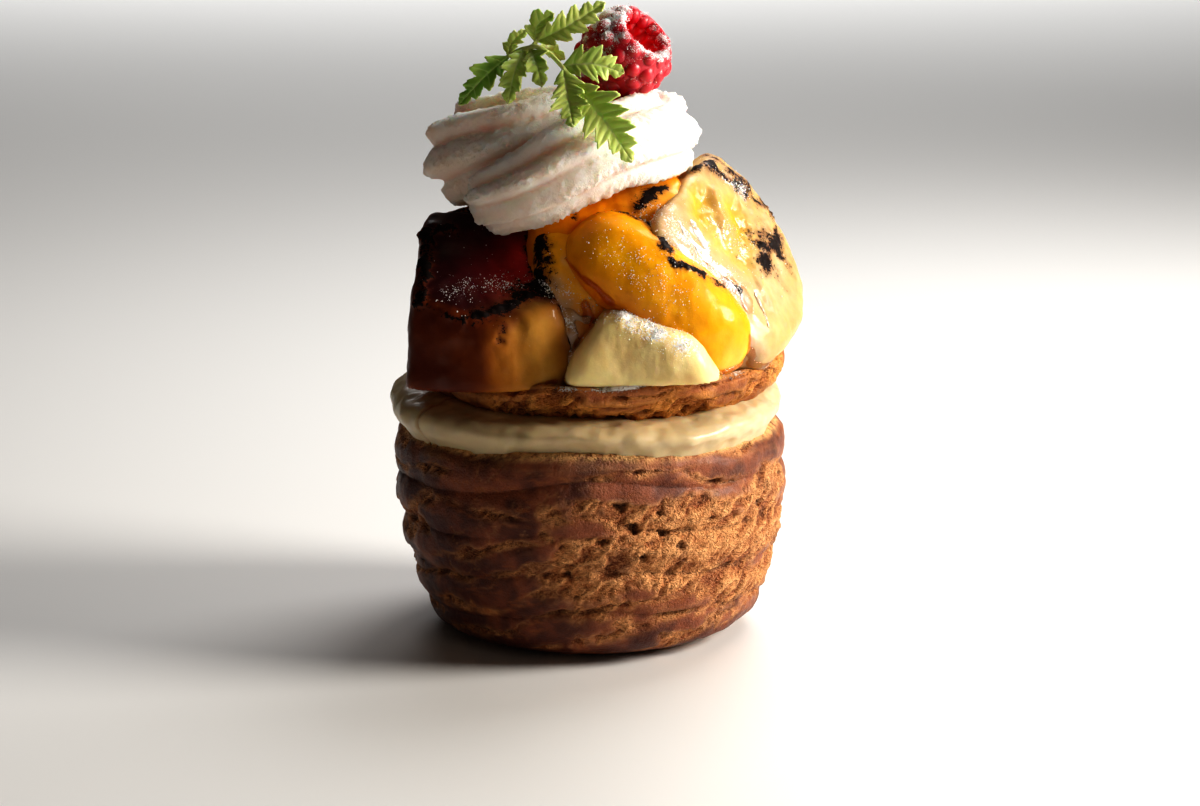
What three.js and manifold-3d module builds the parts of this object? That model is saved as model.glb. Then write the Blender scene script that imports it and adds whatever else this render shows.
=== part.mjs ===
// A filled choux bun, in millimetres with +Z up. A hollow choux shell stands on Z = 0 round the Z axis and
// is full of custard. On the custard lies a choux lid like a saucer, heaped with torched and glazed fruit.
// A piped swirl of whipped cream tops the fruit and carries a raspberry and a sprig of chervil. The front
// is -Y.
import * as THREE from "three";
import { mergeVertices } from "three/addons/utils/BufferGeometryUtils.js";
import Module from "manifold-3d";

const wasm = await Module();
wasm.setup();

// Driving dimensions.
const BUN_RADIUS = 38.6; // the shell at its widest
const SHELL_HEIGHT = 42.4; // to the cut rim
const FOOT_RADIUS = 24; // the flat that the bun stands on
const SHELL_WALL = 5;
const SHELL_FLOOR = 7;
const CUSTARD_TOP = 47.6;
const LID_RADIUS = 35.4;
const LID_CENTRE_X = 3;
const LID_RIM_Z = 56.2;
const LID_DEPTH = 11.4; // from the rim to the lowest point of the round side
const LID_THICKNESS = 5;
const LID_SINK = 3.6; // how much lower the rim lies on the left, under the heaviest fruit
const LEAF_THICKNESS = 0.5;
const GAP = 0.3; // between pieces that touch

// Facets round each piece.
const SHELL_SEGMENTS = 48;
const CUSTARD_SEGMENTS = 40;
const LID_SEGMENTS = 40;
const FRUIT_DETAIL = 3;
const HIDDEN_FRUIT_DETAIL = 2;

const TURN = 2 * Math.PI;
const degrees = THREE.MathUtils.degToRad;
const mix = THREE.MathUtils.lerp;
const smooth = THREE.MathUtils.smoothstep;
const clamp = THREE.MathUtils.clamp;
const vec = (x, y, z) => new THREE.Vector3(x, y, z);
const azimuthOf = (p) => Math.atan2(p.y, p.x);

// Moves every corner of a geometry to the place that a function gives for it.
function sculpt(geometry, place) {
  const position = geometry.getAttribute("position");
  const corner = new THREE.Vector3();
  for (let i = 0; i < position.count; i++) {
    corner.fromBufferAttribute(position, i);
    const moved = place(corner);
    position.setXYZ(i, moved.x, moved.y, moved.z);
  }
  return geometry;
}

// The solid that a closed geometry bounds, its shared corners merged and its flat triangles dropped.
function solid(geometry) {
  const bare = geometry.clone();
  bare.deleteAttribute("normal");
  bare.deleteAttribute("uv");
  const merged = mergeVertices(bare, 1e-3);
  const index = merged.index.array;
  const kept = [];
  for (let i = 0; i < index.length; i += 3) {
    const [a, b, c] = index.subarray(i, i + 3);
    if (a !== b && b !== c && c !== a) kept.push(a, b, c);
  }
  return new wasm.Manifold(
    new wasm.Mesh({
      numProp: 3,
      vertProperties: merged.getAttribute("position").array,
      triVerts: new Uint32Array(kept),
    }),
  );
}

function join(solids) {
  return solids.reduce((a, b) => a.add(b));
}

// What the tools leave of a body: its largest part, without the scraps that a cut can make.
function cutBy(body, tools) {
  const left = tools.reduce((rest, tool) => rest.subtract(tool), body);
  return left.decompose().reduce((a, b) => (a.volume() > b.volume() ? a : b));
}

function geometryOf(body) {
  const mesh = body.getMesh();
  const geometry = new THREE.BufferGeometry();
  const corners = new Float32Array(mesh.numVert * 3);
  for (let i = 0; i < mesh.numVert; i++) {
    const start = i * mesh.numProp;
    corners.set(mesh.vertProperties.subarray(start, start + 3), i * 3);
  }
  geometry.setAttribute("position", new THREE.BufferAttribute(corners, 3));
  geometry.setIndex(new THREE.BufferAttribute(mesh.triVerts, 1));
  geometry.computeVertexNormals();
  return geometry;
}

// A profile of [radius, height] points turned round the Z axis.
function turned(profile, segments) {
  const points = profile.map(([r, z]) => new THREE.Vector2(r, z));
  return new THREE.LatheGeometry(points, segments).rotateX(Math.PI / 2);
}

// Points on a smooth curve through the given [radius, height] points.
function curved(points, count) {
  const curve = new THREE.SplineCurve(points.map(([r, z]) => new THREE.Vector2(r, z)));
  return curve.getPoints(count).map((p) => [p.x, p.y]);
}

// A turned geometry pushed outwards and upwards by amounts that depend on radius, azimuth and height.
function waved(geometry, outAt, liftAt) {
  return sculpt(geometry, (p) => {
    const radius = Math.hypot(p.x, p.y);
    const azimuth = azimuthOf(p);
    const scale = radius > 0 ? (radius + outAt(radius, azimuth, p.z)) / radius : 1;
    return vec(p.x * scale, p.y * scale, p.z + liftAt(radius, azimuth, p.z));
  });
}

// ---- Choux crust ----

const FOLD_PITCH = 8.5; // height from one fold of the crust to the next
const FOLD_DEPTH = 1.7;

// How far the crust stands out at an azimuth and height: long folds that wander up and down as they go round,
// deeper where the dough tore.
function crustFold(azimuth, z) {
  const slow = 1.9 * Math.sin(azimuth - 0.6) + 1.2 * Math.sin(2 * azimuth + 1.7);
  const wander = slow + 0.7 * Math.sin(5 * azimuth);
  const fold = Math.abs(Math.sin((Math.PI * (z + wander)) / FOLD_PITCH)) ** 0.7 - 0.65;
  const torn = 0.65 + 0.35 * Math.sin(3 * azimuth + 0.9) * Math.cos(0.13 * z);
  return FOLD_DEPTH * fold * torn;
}

// The slow swelling that keeps the bun from being round.
function bulge(azimuth, z) {
  const sway = 0.35 * Math.sin(azimuth + 0.12 * z) + 0.3 * Math.sin(3 * azimuth + 0.8);
  return sway + 0.25 * Math.sin(4 * azimuth - 0.1 * z);
}

// How far the cut rim waves above its mean height.
function rimWave(azimuth) {
  return 0.4 * Math.sin(azimuth + 2.6) + 0.45 * Math.sin(3 * azimuth + 0.4) + 0.25 * Math.sin(7 * azimuth);
}

// The shell as a cup. A cutter is the same cup with grow added to every face but the foot.
function shellSolid(grow) {
  const outer = curved(
    [
      [FOOT_RADIUS, 0],
      [31.2, 3.2],
      [34.6, 9.5],
      [36.8, 17],
      [BUN_RADIUS - 0.2, 26],
      [BUN_RADIUS, 34],
      [BUN_RADIUS - 0.6, SHELL_HEIGHT - 2.5],
    ],
    11,
  ).map(([r, z]) => [r + (z > 0 ? grow : 0), z]);
  const inner = BUN_RADIUS - SHELL_WALL;
  const profile = [
    [0, 0],
    ...outer,
    [BUN_RADIUS - 1.8 + grow, SHELL_HEIGHT - 0.4 + grow],
    [inner + 1.4, SHELL_HEIGHT + grow],
    [inner - grow, SHELL_HEIGHT - 1.6 + grow],
    [inner - 0.8 - grow, 22],
    [inner - 5 - grow, 12 + grow],
    [inner - 14 - grow, SHELL_FLOOR + grow],
    [0, SHELL_FLOOR + grow],
  ];
  const rim = SHELL_HEIGHT - 1;
  const isCrust = (radius, z) => radius > inner + 1 || (radius > FOOT_RADIUS + 1 && z < SHELL_FLOOR);
  const out = (radius, azimuth, z) => {
    if (!isCrust(radius, z)) return 0;
    const folds = (1 - 0.6 * smooth(z, rim - 5, rim)) * crustFold(azimuth, z);
    return smooth(z, 0, 6) * (folds + bulge(azimuth, z));
  };
  const lift = (radius, azimuth, z) => rimWave(azimuth) * smooth(z, rim - 13, rim);
  return solid(waved(turned(profile, SHELL_SEGMENTS), out, lift));
}

// The lid as a saucer, its round side down and its left edge sunk.
function lidSolid(grow) {
  const bottom = LID_RIM_Z - LID_DEPTH;
  const floor = bottom + LID_THICKNESS;
  const under = curved(
    [
      [0, bottom],
      [16, bottom + 0.2],
      [25, bottom + 1.5],
      [31, bottom + 4.6],
      [LID_RADIUS - 1, bottom + 8.2],
      [LID_RADIUS, LID_RIM_Z - 1.2],
    ],
    6,
  ).map(([r, z]) => [r === 0 ? 0 : r + grow, z - grow]);
  const profile = [
    ...under,
    [LID_RADIUS - 1.2 + grow, LID_RIM_Z + grow],
    [LID_RADIUS - 3.2, LID_RIM_Z - 0.6 + grow],
    [LID_RADIUS - 10, floor + 1.6 + grow],
    [LID_RADIUS - 20, floor + grow],
    [0, floor + grow],
  ];
  const nearEdge = (radius) => smooth(radius, LID_RADIUS - 10, LID_RADIUS);
  const out = (radius, azimuth, z) => {
    return nearEdge(radius) * (0.5 * crustFold(azimuth + 1, 1.4 * z) + 0.7 * bulge(azimuth + 2, z));
  };
  const lift = (radius, azimuth) => {
    const sink = LID_SINK * Math.max(0, Math.cos(azimuth - degrees(195))) ** 2;
    return nearEdge(radius) * (0.5 * rimWave(azimuth + 1.2) + 0.3 * Math.sin(9 * azimuth) - sink);
  };
  return solid(waved(turned(profile, LID_SEGMENTS), out, lift).translate(LID_CENTRE_X, 0, 0));
}

// ---- Custard ----

// The custard before the crust is pressed into it: a plug that fills the shell and swells over its rim.
function custardBlob() {
  const inWall = BUN_RADIUS - SHELL_WALL + 1.5;
  const swell = curved(
    [
      [inWall, SHELL_HEIGHT - 3],
      [BUN_RADIUS - 1.6, SHELL_HEIGHT + 0.4],
      [BUN_RADIUS, SHELL_HEIGHT + 2.8],
      [BUN_RADIUS - 1.8, CUSTARD_TOP - 1.2],
      [BUN_RADIUS - 6, CUSTARD_TOP],
    ],
    6,
  );
  const profile = [
    [0, SHELL_FLOOR - 2],
    [inWall - 14, SHELL_FLOOR - 2],
    [inWall - 3, 13],
    [inWall, 24],
    ...swell,
    [0, CUSTARD_TOP],
  ];
  const free = (z) => smooth(z, SHELL_HEIGHT - 4, SHELL_HEIGHT + 1);
  const out = (radius, azimuth, z) => {
    const slump = 0.5 * Math.sin(2 * azimuth + 2.6) + 0.35 * Math.sin(5 * azimuth + 0.5);
    return free(z) * (slump + 0.2 * Math.sin(11 * azimuth) - 0.9 * Math.cos(azimuth));
  };
  const lift = (radius, azimuth, z) => {
    const pressedOut = 1.6 * Math.cos(azimuth) ** 2 + 1.4 * Math.max(0, -Math.cos(azimuth));
    return free(z) * rimWave(azimuth) + pressedOut * smooth(z, SHELL_HEIGHT + 1, CUSTARD_TOP);
  };
  return solid(waved(turned(profile, CUSTARD_SEGMENTS), out, lift));
}

// ---- Fruit ----

// A piece of fruit is the space inside flat faces, each [normal x, y, z, distance from the centre]. Its edges
// are rounder as the sharpness falls, and 2 with faces in opposite pairs is an ellipsoid.
const FRUIT = {
  fruit_right: {
    centre: [24, -2, 72],
    sharpness: 11,
    faces: [
      [0.69, -0.52, 0.5, 11.2],
      [0.67, 0.1, 0.74, 17.9],
      [0.96, 0.1, 0.28, 16.8],
      [0.75, -0.1, -0.65, 20],
      [-0.6, 0, 0.8, 18.9],
      [0, -1, -0.2, 22],
      [-1, 0, 0, 13],
      [0, 0, -1, 19],
      [0.2, 1, 0.1, 15],
    ],
  },
  fruit_centre: {
    centre: [13, -20, 70.6],
    sharpness: 2.6,
    faces: [
      [0.75, -0.2, -0.64, 20.5],
      [-0.75, 0.2, 0.64, 20],
      [0.64, 0.1, 0.76, 10.2],
      [-0.64, -0.1, -0.76, 9],
      [0.05, -0.97, 0.2, 11.5],
      [-0.05, 0.97, -0.2, 12],
    ],
  },
  fruit_left: {
    centre: [-20.5, -15, 66.5],
    sharpness: 13,
    faces: [
      [0.03, -0.5, 0.865, 10.3],
      [-0.38, -0.92, 0.05, 16.6],
      [0.3, -0.95, 0.1, 18],
      [-1, 0, 0.1, 13.6],
      [0.95, 0, 0.3, 15.4],
      [0, -0.05, -1, 14.2],
      [0, 1, 0, 11],
    ],
  },
  fruit_front: {
    centre: [10, -26, 62.5],
    sharpness: 4.5,
    faces: [
      [0.22, -0.25, 0.94, 6.6],
      [0, -1, 0.15, 9.2],
      [0.85, -0.2, 0.5, 11],
      [-0.82, 0, 0.57, 9.8],
      [0, -0.1, -1, 6.4],
      [0, 1, 0, 8],
    ],
  },
  fruit_middle: {
    centre: [-3, -14, 71],
    sharpness: 3,
    faces: [
      [-1, 0, 0, 9],
      [1, 0, 0, 9],
      [0, -0.98, 0.2, 11.5],
      [0, 1, 0, 10],
      [0, -0.2, 0.98, 14.5],
      [0, 0, -1, 14],
    ],
  },
  fruit_top: {
    centre: [4, -4, 80],
    sharpness: 5,
    faces: [
      [-1, 0, 0, 16],
      [1, 0, 0, 15],
      [0, -0.9, 0.42, 15.5],
      [0, 1, 0, 15],
      [-0.08, -0.1, 0.98, 12],
      [0, 0, -1, 14],
    ],
  },
  fruit_back_left: {
    centre: [-17, 13.5, 66.5],
    sharpness: 7,
    faces: [
      [-0.97, 0.15, 0, 15.5],
      [1, 0, 0, 16.5],
      [0, -1, 0, 14],
      [-0.3, 0.95, 0.1, 18],
      [-0.2, 0.32, 0.92, 14.5],
      [0, 0, -1, 15],
    ],
  },
  fruit_back_right: {
    centre: [17, 17, 67.5],
    sharpness: 6,
    faces: [
      [-1, 0, 0, 17],
      [0.93, 0.3, 0, 17],
      [0, -1, 0, 15],
      [0.15, 0.98, 0.1, 14],
      [0.25, 0.42, 0.87, 14.5],
      [0, 0, -1, 16],
    ],
  },
};

const HIDDEN_FRUIT = new Set(["fruit_middle", "fruit_top"]); // all but an edge of them

// How far the skin of a piece lies from its centre in a direction.
function fruitReach({ faces, sharpness }, direction, grow) {
  const sum = faces.reduce((total, [x, y, z, distance]) => {
    const along = (direction.x * x + direction.y * y + direction.z * z) / Math.hypot(x, y, z);
    return total + Math.max(0, along / (distance + grow)) ** sharpness;
  }, 0);
  return sum ** (-1 / sharpness);
}

function fruitSolid(name, grow) {
  const centre = vec(...FRUIT[name].centre);
  const detail = HIDDEN_FRUIT.has(name) ? HIDDEN_FRUIT_DETAIL : FRUIT_DETAIL;
  return solid(
    sculpt(new THREE.IcosahedronGeometry(1, detail), (p) => {
      const direction = p.clone().normalize();
      const reach = fruitReach(FRUIT[name], direction, grow);
      return direction.multiplyScalar(reach).add(centre);
    }),
  );
}

// ---- Whipped cream ----

const NOZZLE_TEETH = 8;
const GROOVE_SHARE = 0.24; // depth of the grooves that the nozzle leaves, as a share of the rope's radius
const ROPE_SIDES = 2 * NOZZLE_TEETH; // one edge on each crest and one in each groove
const ROPE_STEP = 15; // degrees
const ROPE_ROLL = 3; // radians that the grooves turn round the rope on its way
const CREAM_AXIS = [-5, -1];

// The piped rope: it starts at the front left, climbs the fruit, goes once round and ends on top of itself.
// Each row is [degrees round the swirl, distance from its axis, height, radius of the rope].
const ROPE = [
  [222, 21, 88.3, 6.4],
  [245, 20.5, 90.2, 8],
  [272, 18.5, 96.3, 9.2],
  [300, 17.5, 99.6, 9],
  [360, 17.5, 98.7, 9.2],
  [450, 16, 96.6, 10],
  [495, 16.6, 95.2, 10.6],
  [540, 17.2, 94.6, 11],
  [575, 15.6, 98.2, 10],
  [610, 11, 101.5, 8.2],
  [690, 4, 104.5, 5.5],
];
const ROPE_JOINTS = [222, 350, 500, 690]; // where one stretch of the rope ends and the next begins
const CREAM_HEART = { centre: [-5, -1, 94.5], reach: [15, 15, 11] };

const CREST_SHARPNESS = 1.15; // 1 has straight flanks and 2 round crests
const END_SHARE = 0.6; // the radius at a stretch's very end
const END_REACH = 0.35; // how far a stretch goes on past its last full section, in radii
const ROPE_COLUMNS = { spread: 1, height: 2, radius: 3 };
const ROPE_EASE = 14; // degrees either side that the table is averaged over, to keep the rope free of kinks
const EASE_SAMPLES = [-1, -0.5, 0, 0.5, 1];

// One column of the rope's table at an angle, in a straight line from row to row.
function ropeTable(angle, column) {
  const last = ROPE.length - 1;
  const above = ROPE.findIndex((row) => row[0] > angle);
  const k = above < 0 ? last - 1 : clamp(above - 1, 0, last - 1);
  const [from, to] = [ROPE[k], ROPE[k + 1]];
  const share = clamp((angle - from[0]) / (to[0] - from[0]), 0, 1);
  return mix(from[column], to[column], share);
}

// The rope's centre and radius at an angle round the swirl.
function ropeAt(angle) {
  const mean = (column) => {
    const samples = EASE_SAMPLES.map((k) => ropeTable(angle + k * ROPE_EASE, column));
    return samples.reduce((total, sample) => total + sample) / samples.length;
  };
  const spread = mean(ROPE_COLUMNS.spread);
  const [x, y] = CREAM_AXIS;
  const turn = degrees(angle);
  const height = mean(ROPE_COLUMNS.height);
  const centre = vec(x + spread * Math.cos(turn), y + spread * Math.sin(turn), height);
  return { centre, radius: mean(ROPE_COLUMNS.radius) };
}

// The star that the nozzle pipes: sharp crests and round valleys.
function starRadius(turn) {
  return 1 - GROOVE_SHARE * Math.abs(Math.sin((NOZZLE_TEETH * turn) / 2)) ** CREST_SHARPNESS;
}

// A stretch of the rope between two angles, its ends drawn in so that the next stretch hides them.
function ropeStretch(from, to) {
  const steps = Math.round((to - from) / ROPE_STEP) + 2;
  const tube = new THREE.CylinderGeometry(1, 1, 1, ROPE_SIDES, steps, false);
  const total = ROPE[ROPE.length - 1][0] - ROPE[0][0];
  return solid(
    sculpt(tube, (p) => {
      const step = Math.round((p.y + 0.5) * steps);
      const angle = mix(from, to, clamp((step - 1) / (steps - 2), 0, 1));
      const { centre, radius } = ropeAt(angle);
      const tangent = ropeAt(angle + 1).centre.sub(ropeAt(angle - 1).centre).normalize();
      const side = tangent.clone().cross(vec(0, 0, 1)).normalize();
      const up = side.clone().cross(tangent);
      const tooth = Math.atan2(p.z, p.x);
      const turn = tooth + (ROPE_ROLL * (angle - ROPE[0][0])) / total;
      const isEnd = step === 0 || step === steps;
      const reach = Math.hypot(p.x, p.z) * radius * starRadius(tooth) * (isEnd ? END_SHARE : 1);
      const ahead = isEnd ? Math.sign(step - 1) * END_REACH * radius : 0;
      return centre
        .addScaledVector(side, reach * Math.cos(turn))
        .addScaledVector(up, reach * Math.sin(turn))
        .addScaledVector(tangent, ahead);
    }),
  );
}

// The middle of the swirl, which closes the hole inside the rope.
function creamHeart() {
  const [x, y, z] = CREAM_HEART.reach;
  return solid(new THREE.IcosahedronGeometry(1, 2).scale(x, y, z).translate(...CREAM_HEART.centre));
}

function creamSolid() {
  const stretches = ROPE_JOINTS.slice(1).map((to, i) => ropeStretch(ROPE_JOINTS[i], to));
  return join([...stretches, creamHeart()]);
}

// ---- Raspberry ----

const RASPBERRY_CENTRE = vec(5.8, -6.8, 114.4);
const RASPBERRY_AXIS = vec(0.62, -0.42, 0.66).normalize(); // from its tip to its open end
const RASPBERRY_RADIUS = 9.1; // over its drupelets
const DRUPELETS_ROUND = 10;
const DRUPELET_ROWS = 5;
const DRUPELET_RISE = 1.7;
const SIDES_PER_DRUPELET = 4;

// The berry without its drupelets, as [radius, place along the axis] from the tip to the rim.
const BERRY_OUTSIDE = [
  [0, -8.4],
  [4.5, -6.8],
  [7.1, -2.8],
  [7.8, 1.6],
  [7.2, 5.4],
  [5.4, 8],
];
// The hollow that the stalk left, from the rim inwards.
const BERRY_HOLLOW = [
  [3.9, 7.2],
  [3, 1],
  [0, -1.2],
];

// Stands a shape made round the Z axis in the berry's place.
function toBerry(body) {
  const turnTo = new THREE.Quaternion().setFromUnitVectors(vec(0, 0, 1), RASPBERRY_AXIS);
  return body.transform(new THREE.Matrix4().compose(RASPBERRY_CENTRE, turnTo, vec(1, 1, 1)).elements);
}

// The berry, each drupelet a round bump, the rows of them set like bricks.
function raspberrySolid() {
  const rows = DRUPELET_ROWS * SIDES_PER_DRUPELET;
  const outside = curved(BERRY_OUTSIDE, rows);
  const bumpy = turned([...outside, ...BERRY_HOLLOW], DRUPELETS_ROUND * SIDES_PER_DRUPELET);
  const row = (radius, along) => outside.findIndex(([r, z]) => Math.hypot(r - radius, z - along) < 1e-3);
  return toBerry(
    solid(
      sculpt(bumpy, (p) => {
        const radius = Math.hypot(p.x, p.y);
        const index = row(radius, p.z);
        if (index <= 0) return p.clone();
        const down = index / SIDES_PER_DRUPELET - 0.5;
        const round = (azimuthOf(p) / TURN) * DRUPELETS_ROUND + 0.5 * Math.round(down);
        const off = Math.hypot(down - Math.round(down), round - Math.round(round));
        const rise = DRUPELET_RISE * Math.max(0, 1 - (2.3 * off) ** 2);
        return p.clone().add(vec(p.x, p.y, p.z).setLength(rise));
      }),
    ),
  );
}

// The berry's outline without drupelets, a gap larger, to press into the cream.
function raspberryCutter() {
  return toBerry(solid(new THREE.SphereGeometry(RASPBERRY_RADIUS + GAP, 16, 10).scale(1, 1, 1.08)));
}

// ---- Chervil ----

const STALK_RADIUS = 0.5;

// The stalks: the long one from its cut end in the cream to the terminal leaflet, and its side shoots.
const STALKS = {
  main: [
    [-14, -4, 103],
    [-13.5, -8, 111],
    [-11.5, -11, 117],
    [-8, -14, 116.5],
    [-5, -18, 114],
    [-2.5, -20, 111],
  ],
  left: [
    [-11.5, -11, 117],
    [-13.5, -9.6, 116.4],
    [-16, -9, 115],
  ],
  high: [
    [-11.5, -11, 116.6],
    [-10.6, -10.4, 117.6],
    [-10, -10, 118.6],
  ],
};

// Each leaflet: its midrib from root to tip with a point between, its breadth, and its lobes on each side.
const LEAFLETS = [
  { rib: [[-2.8, -19.8, 111.4], [2.5, -26, 105.5], [8, -28.5, 97.5]], breadth: 10, lobes: 5 },
  { rib: [[-5, -18.6, 113.9], [-4, -22.5, 109], [-3, -28, 104]], breadth: 7, lobes: 4 },
  { rib: [[-5.2, -17.8, 114.2], [0.5, -18.8, 114.8], [6.5, -18.4, 113]], breadth: 6.8, lobes: 4 },
  { rib: [[-10.2, -10.2, 118.2], [-4.5, -11, 121], [3, -10, 125.5]], breadth: 6.4, lobes: 4 },
  { rib: [[-10.3, -10.2, 118], [-10, -9, 121], [-6.8, -9, 123.4]], breadth: 4.6, lobes: 3 },
  { rib: [[-9.8, -11.6, 117], [-7.2, -7.6, 116], [-4.8, -6.4, 114.4]], breadth: 4, lobes: 3 },
  { rib: [[-15.6, -9, 115.2], [-15, -7.4, 117.6], [-12, -7, 120]], breadth: 3.6, lobes: 3 },
  { rib: [[-12.4, -10.2, 116.8], [-14.2, -14.6, 113], [-15.5, -16.6, 107]], breadth: 6.4, lobes: 4 },
  { rib: [[-11.4, -11.2, 116.8], [-10, -16, 114.4], [-9, -18.6, 110.4]], breadth: 5.6, lobes: 3 },
  { rib: [[-15.6, -9.2, 115.2], [-20, -11.6, 111.6], [-25, -12, 106.2]], breadth: 6, lobes: 4 },
];
const LEAF_FACE = vec(-0.1, -1, 0.4); // which way the leaflets look
const ROWS_PER_LOBE = 2; // a notch and a point
const NOTCH_SHARE = 0.45; // how much of the breadth is left at a notch
const LOBE_SWEEP = 0.45; // how far a lobe points forwards, in half breadths
const LEAF_CUP = 0.25; // how far its edges are raised, in half breadths
const LEAST_HALF = 0.3; // half the breadth at its root and tip

// A smooth curve through [x, y, z] points.
const curveOf = (points) => new THREE.CatmullRomCurve3(points.map((point) => vec(...point)));

// A leaflet as a thin solid: a strip of faces on each side of the rib, bent with it and cupped. Its outline
// is widest a third of the way up, and its lobes point forwards.
function leafletSolid({ rib, breadth, lobes }) {
  const curve = curveOf(rib);
  const rows = lobes * ROWS_PER_LOBE + 1;
  const plate = new THREE.BoxGeometry(2, 1, LEAF_THICKNESS, 2, rows, 1);
  return solid(
    sculpt(plate, (p) => {
      const row = Math.round((p.y + 0.5) * rows);
      const along = row / rows;
      const isPoint = row % ROWS_PER_LOBE === 0 && row > 0 && row < rows;
      const centre = curve.getPointAt(along);
      const tangent = curve.getTangentAt(along);
      const side = tangent.clone().cross(LEAF_FACE).normalize();
      const normal = side.clone().cross(tangent);
      const outline = 0.5 * breadth * Math.sin(Math.PI * clamp(along, 0, 1) ** 0.62) ** 0.8;
      const half = Math.max(LEAST_HALF, outline * (isPoint ? 1 : NOTCH_SHARE));
      return centre
        .addScaledVector(side, p.x * half)
        .addScaledVector(tangent, isPoint ? LOBE_SWEEP * half * Math.abs(p.x) : 0)
        .addScaledVector(normal, LEAF_CUP * half * Math.abs(p.x) + p.z);
    }),
  );
}

function stalkSolid(points, radius) {
  const section = new THREE.Shape().absarc(0, 0, radius, 0, TURN);
  const settings = {
    steps: 3 * (points.length - 1),
    curveSegments: 3,
    bevelEnabled: false,
    extrudePath: curveOf(points),
  };
  return solid(new THREE.ExtrudeGeometry(section, settings));
}

function sprigSolid() {
  const stalks = Object.values(STALKS).map((points) => stalkSolid(points, STALK_RADIUS));
  return cutBy(join([...stalks, ...LEAFLETS.map(leafletSolid)]), []);
}

// ---- The bun ----

const CHOUX = { color: 0xa9652f, roughness: 0.75, metalness: 0 };
const FINISHES = {
  choux_shell: CHOUX,
  choux_lid: CHOUX,
  custard: { color: 0xf0d48c, roughness: 0.35, metalness: 0 },
  fruit: { color: 0xe09a1e, roughness: 0.18, metalness: 0 },
  whipped_cream: { color: 0xfaf4ec, roughness: 0.6, metalness: 0 },
  raspberry: { color: 0xc4142c, roughness: 0.35, metalness: 0 },
  chervil: { color: 0x5f8a1e, roughness: 0.5, metalness: 0 },
};

function piece(name, body) {
  const finish = FINISHES[name] ?? FINISHES.fruit;
  const mesh = new THREE.Mesh(geometryOf(body), new THREE.MeshStandardMaterial(finish));
  mesh.name = name;
  return mesh;
}

const lidCutter = lidSolid(GAP);
const fruitCutters = [];
const fruitPieces = Object.keys(FRUIT).map((name) => {
  const body = cutBy(fruitSolid(name, 0), [lidCutter, ...fruitCutters]);
  fruitCutters.push(fruitSolid(name, GAP));
  return piece(name, body);
});
const stalkCutter = stalkSolid(STALKS.main, STALK_RADIUS + GAP);

const bun = new THREE.Group();
bun.add(piece("choux_shell", shellSolid(0)));
bun.add(piece("custard", cutBy(custardBlob(), [shellSolid(GAP), lidCutter])));
bun.add(piece("choux_lid", lidSolid(0)));
bun.add(...fruitPieces);
bun.add(piece("whipped_cream", cutBy(creamSolid(), [...fruitCutters, raspberryCutter(), stalkCutter])));
bun.add(piece("raspberry", raspberrySolid()));
bun.add(piece("chervil", sprigSolid()));

export default bun;
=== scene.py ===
"""A choux bun filled with custard and topped with torched fruit, whipped cream, a raspberry and chervil.

Lengths are in millimetres while a surface is shaped, and in metres once it is a mesh. X runs to the right of
the picture, Y away from the viewer and Z up, from the bun's flat foot.
"""

import logging
import math
from collections.abc import Callable, Sequence
from dataclasses import dataclass, field
from enum import Enum

import bpy
import numpy as np
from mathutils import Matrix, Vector
from mathutils.bvhtree import BVHTree


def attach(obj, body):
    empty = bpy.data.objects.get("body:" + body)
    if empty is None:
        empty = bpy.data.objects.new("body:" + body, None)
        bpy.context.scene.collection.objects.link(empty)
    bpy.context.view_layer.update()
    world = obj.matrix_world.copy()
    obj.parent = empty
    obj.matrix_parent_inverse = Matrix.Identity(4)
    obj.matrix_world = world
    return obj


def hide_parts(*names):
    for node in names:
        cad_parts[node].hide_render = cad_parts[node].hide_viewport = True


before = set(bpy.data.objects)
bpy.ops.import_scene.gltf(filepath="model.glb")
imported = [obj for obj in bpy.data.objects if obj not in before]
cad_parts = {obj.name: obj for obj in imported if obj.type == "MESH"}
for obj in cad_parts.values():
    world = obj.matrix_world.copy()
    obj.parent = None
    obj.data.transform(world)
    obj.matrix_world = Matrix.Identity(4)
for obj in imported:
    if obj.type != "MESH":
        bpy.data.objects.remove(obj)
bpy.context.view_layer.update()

LOG = logging.getLogger("choux_bun")
Array = np.ndarray
Colour = tuple[float, float, float]
Point = tuple[float, float, float]
Piece = bpy.types.Object
Node = bpy.types.Node
Socket = bpy.types.NodeSocket

MM = 0.001
TURN = 2 * math.pi


class Slot(Enum):
    """The record's material slots."""

    CHOUX = "choux"
    CUSTARD = "custard"
    FRUIT = "fruit"
    CREAM = "whipped_cream"
    RASPBERRY = "raspberry"
    CHERVIL = "chervil"


# ---- Numbers and noise ----


def smooth(x: Array, low: float, high: float) -> Array:
    """Rises gently from 0 at low to 1 at high."""
    t = np.clip((x - low) / (high - low), 0, 1)
    return t * t * (3 - 2 * t)


def bell(x: Array, middle: float, reach: float) -> Array:
    """A bump of height 1 at middle that fades over reach."""
    return np.exp(-(((x - middle) / reach) ** 2))


def blend(a: Array, b: Array, share: Array) -> Array:
    """Mixes colours or lengths.

    Args:
        a: what a share of 0 gives.
        b: what a share of 1 gives.
        share: the share of each point.

    Returns:
        The mixture at each point.
    """
    share = np.asarray(share)
    a = np.asarray(a, float)
    b = np.asarray(b, float)
    if share.ndim == 1 and (a.shape[-1:] == (3,) or b.shape[-1:] == (3,)):
        share = share[:, None]
    return a * (1 - share) + b * share


def unit(vectors: Array) -> Array:
    """Vectors in the same directions, all of length 1."""
    return vectors / np.linalg.norm(vectors, axis=-1, keepdims=True)


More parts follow.
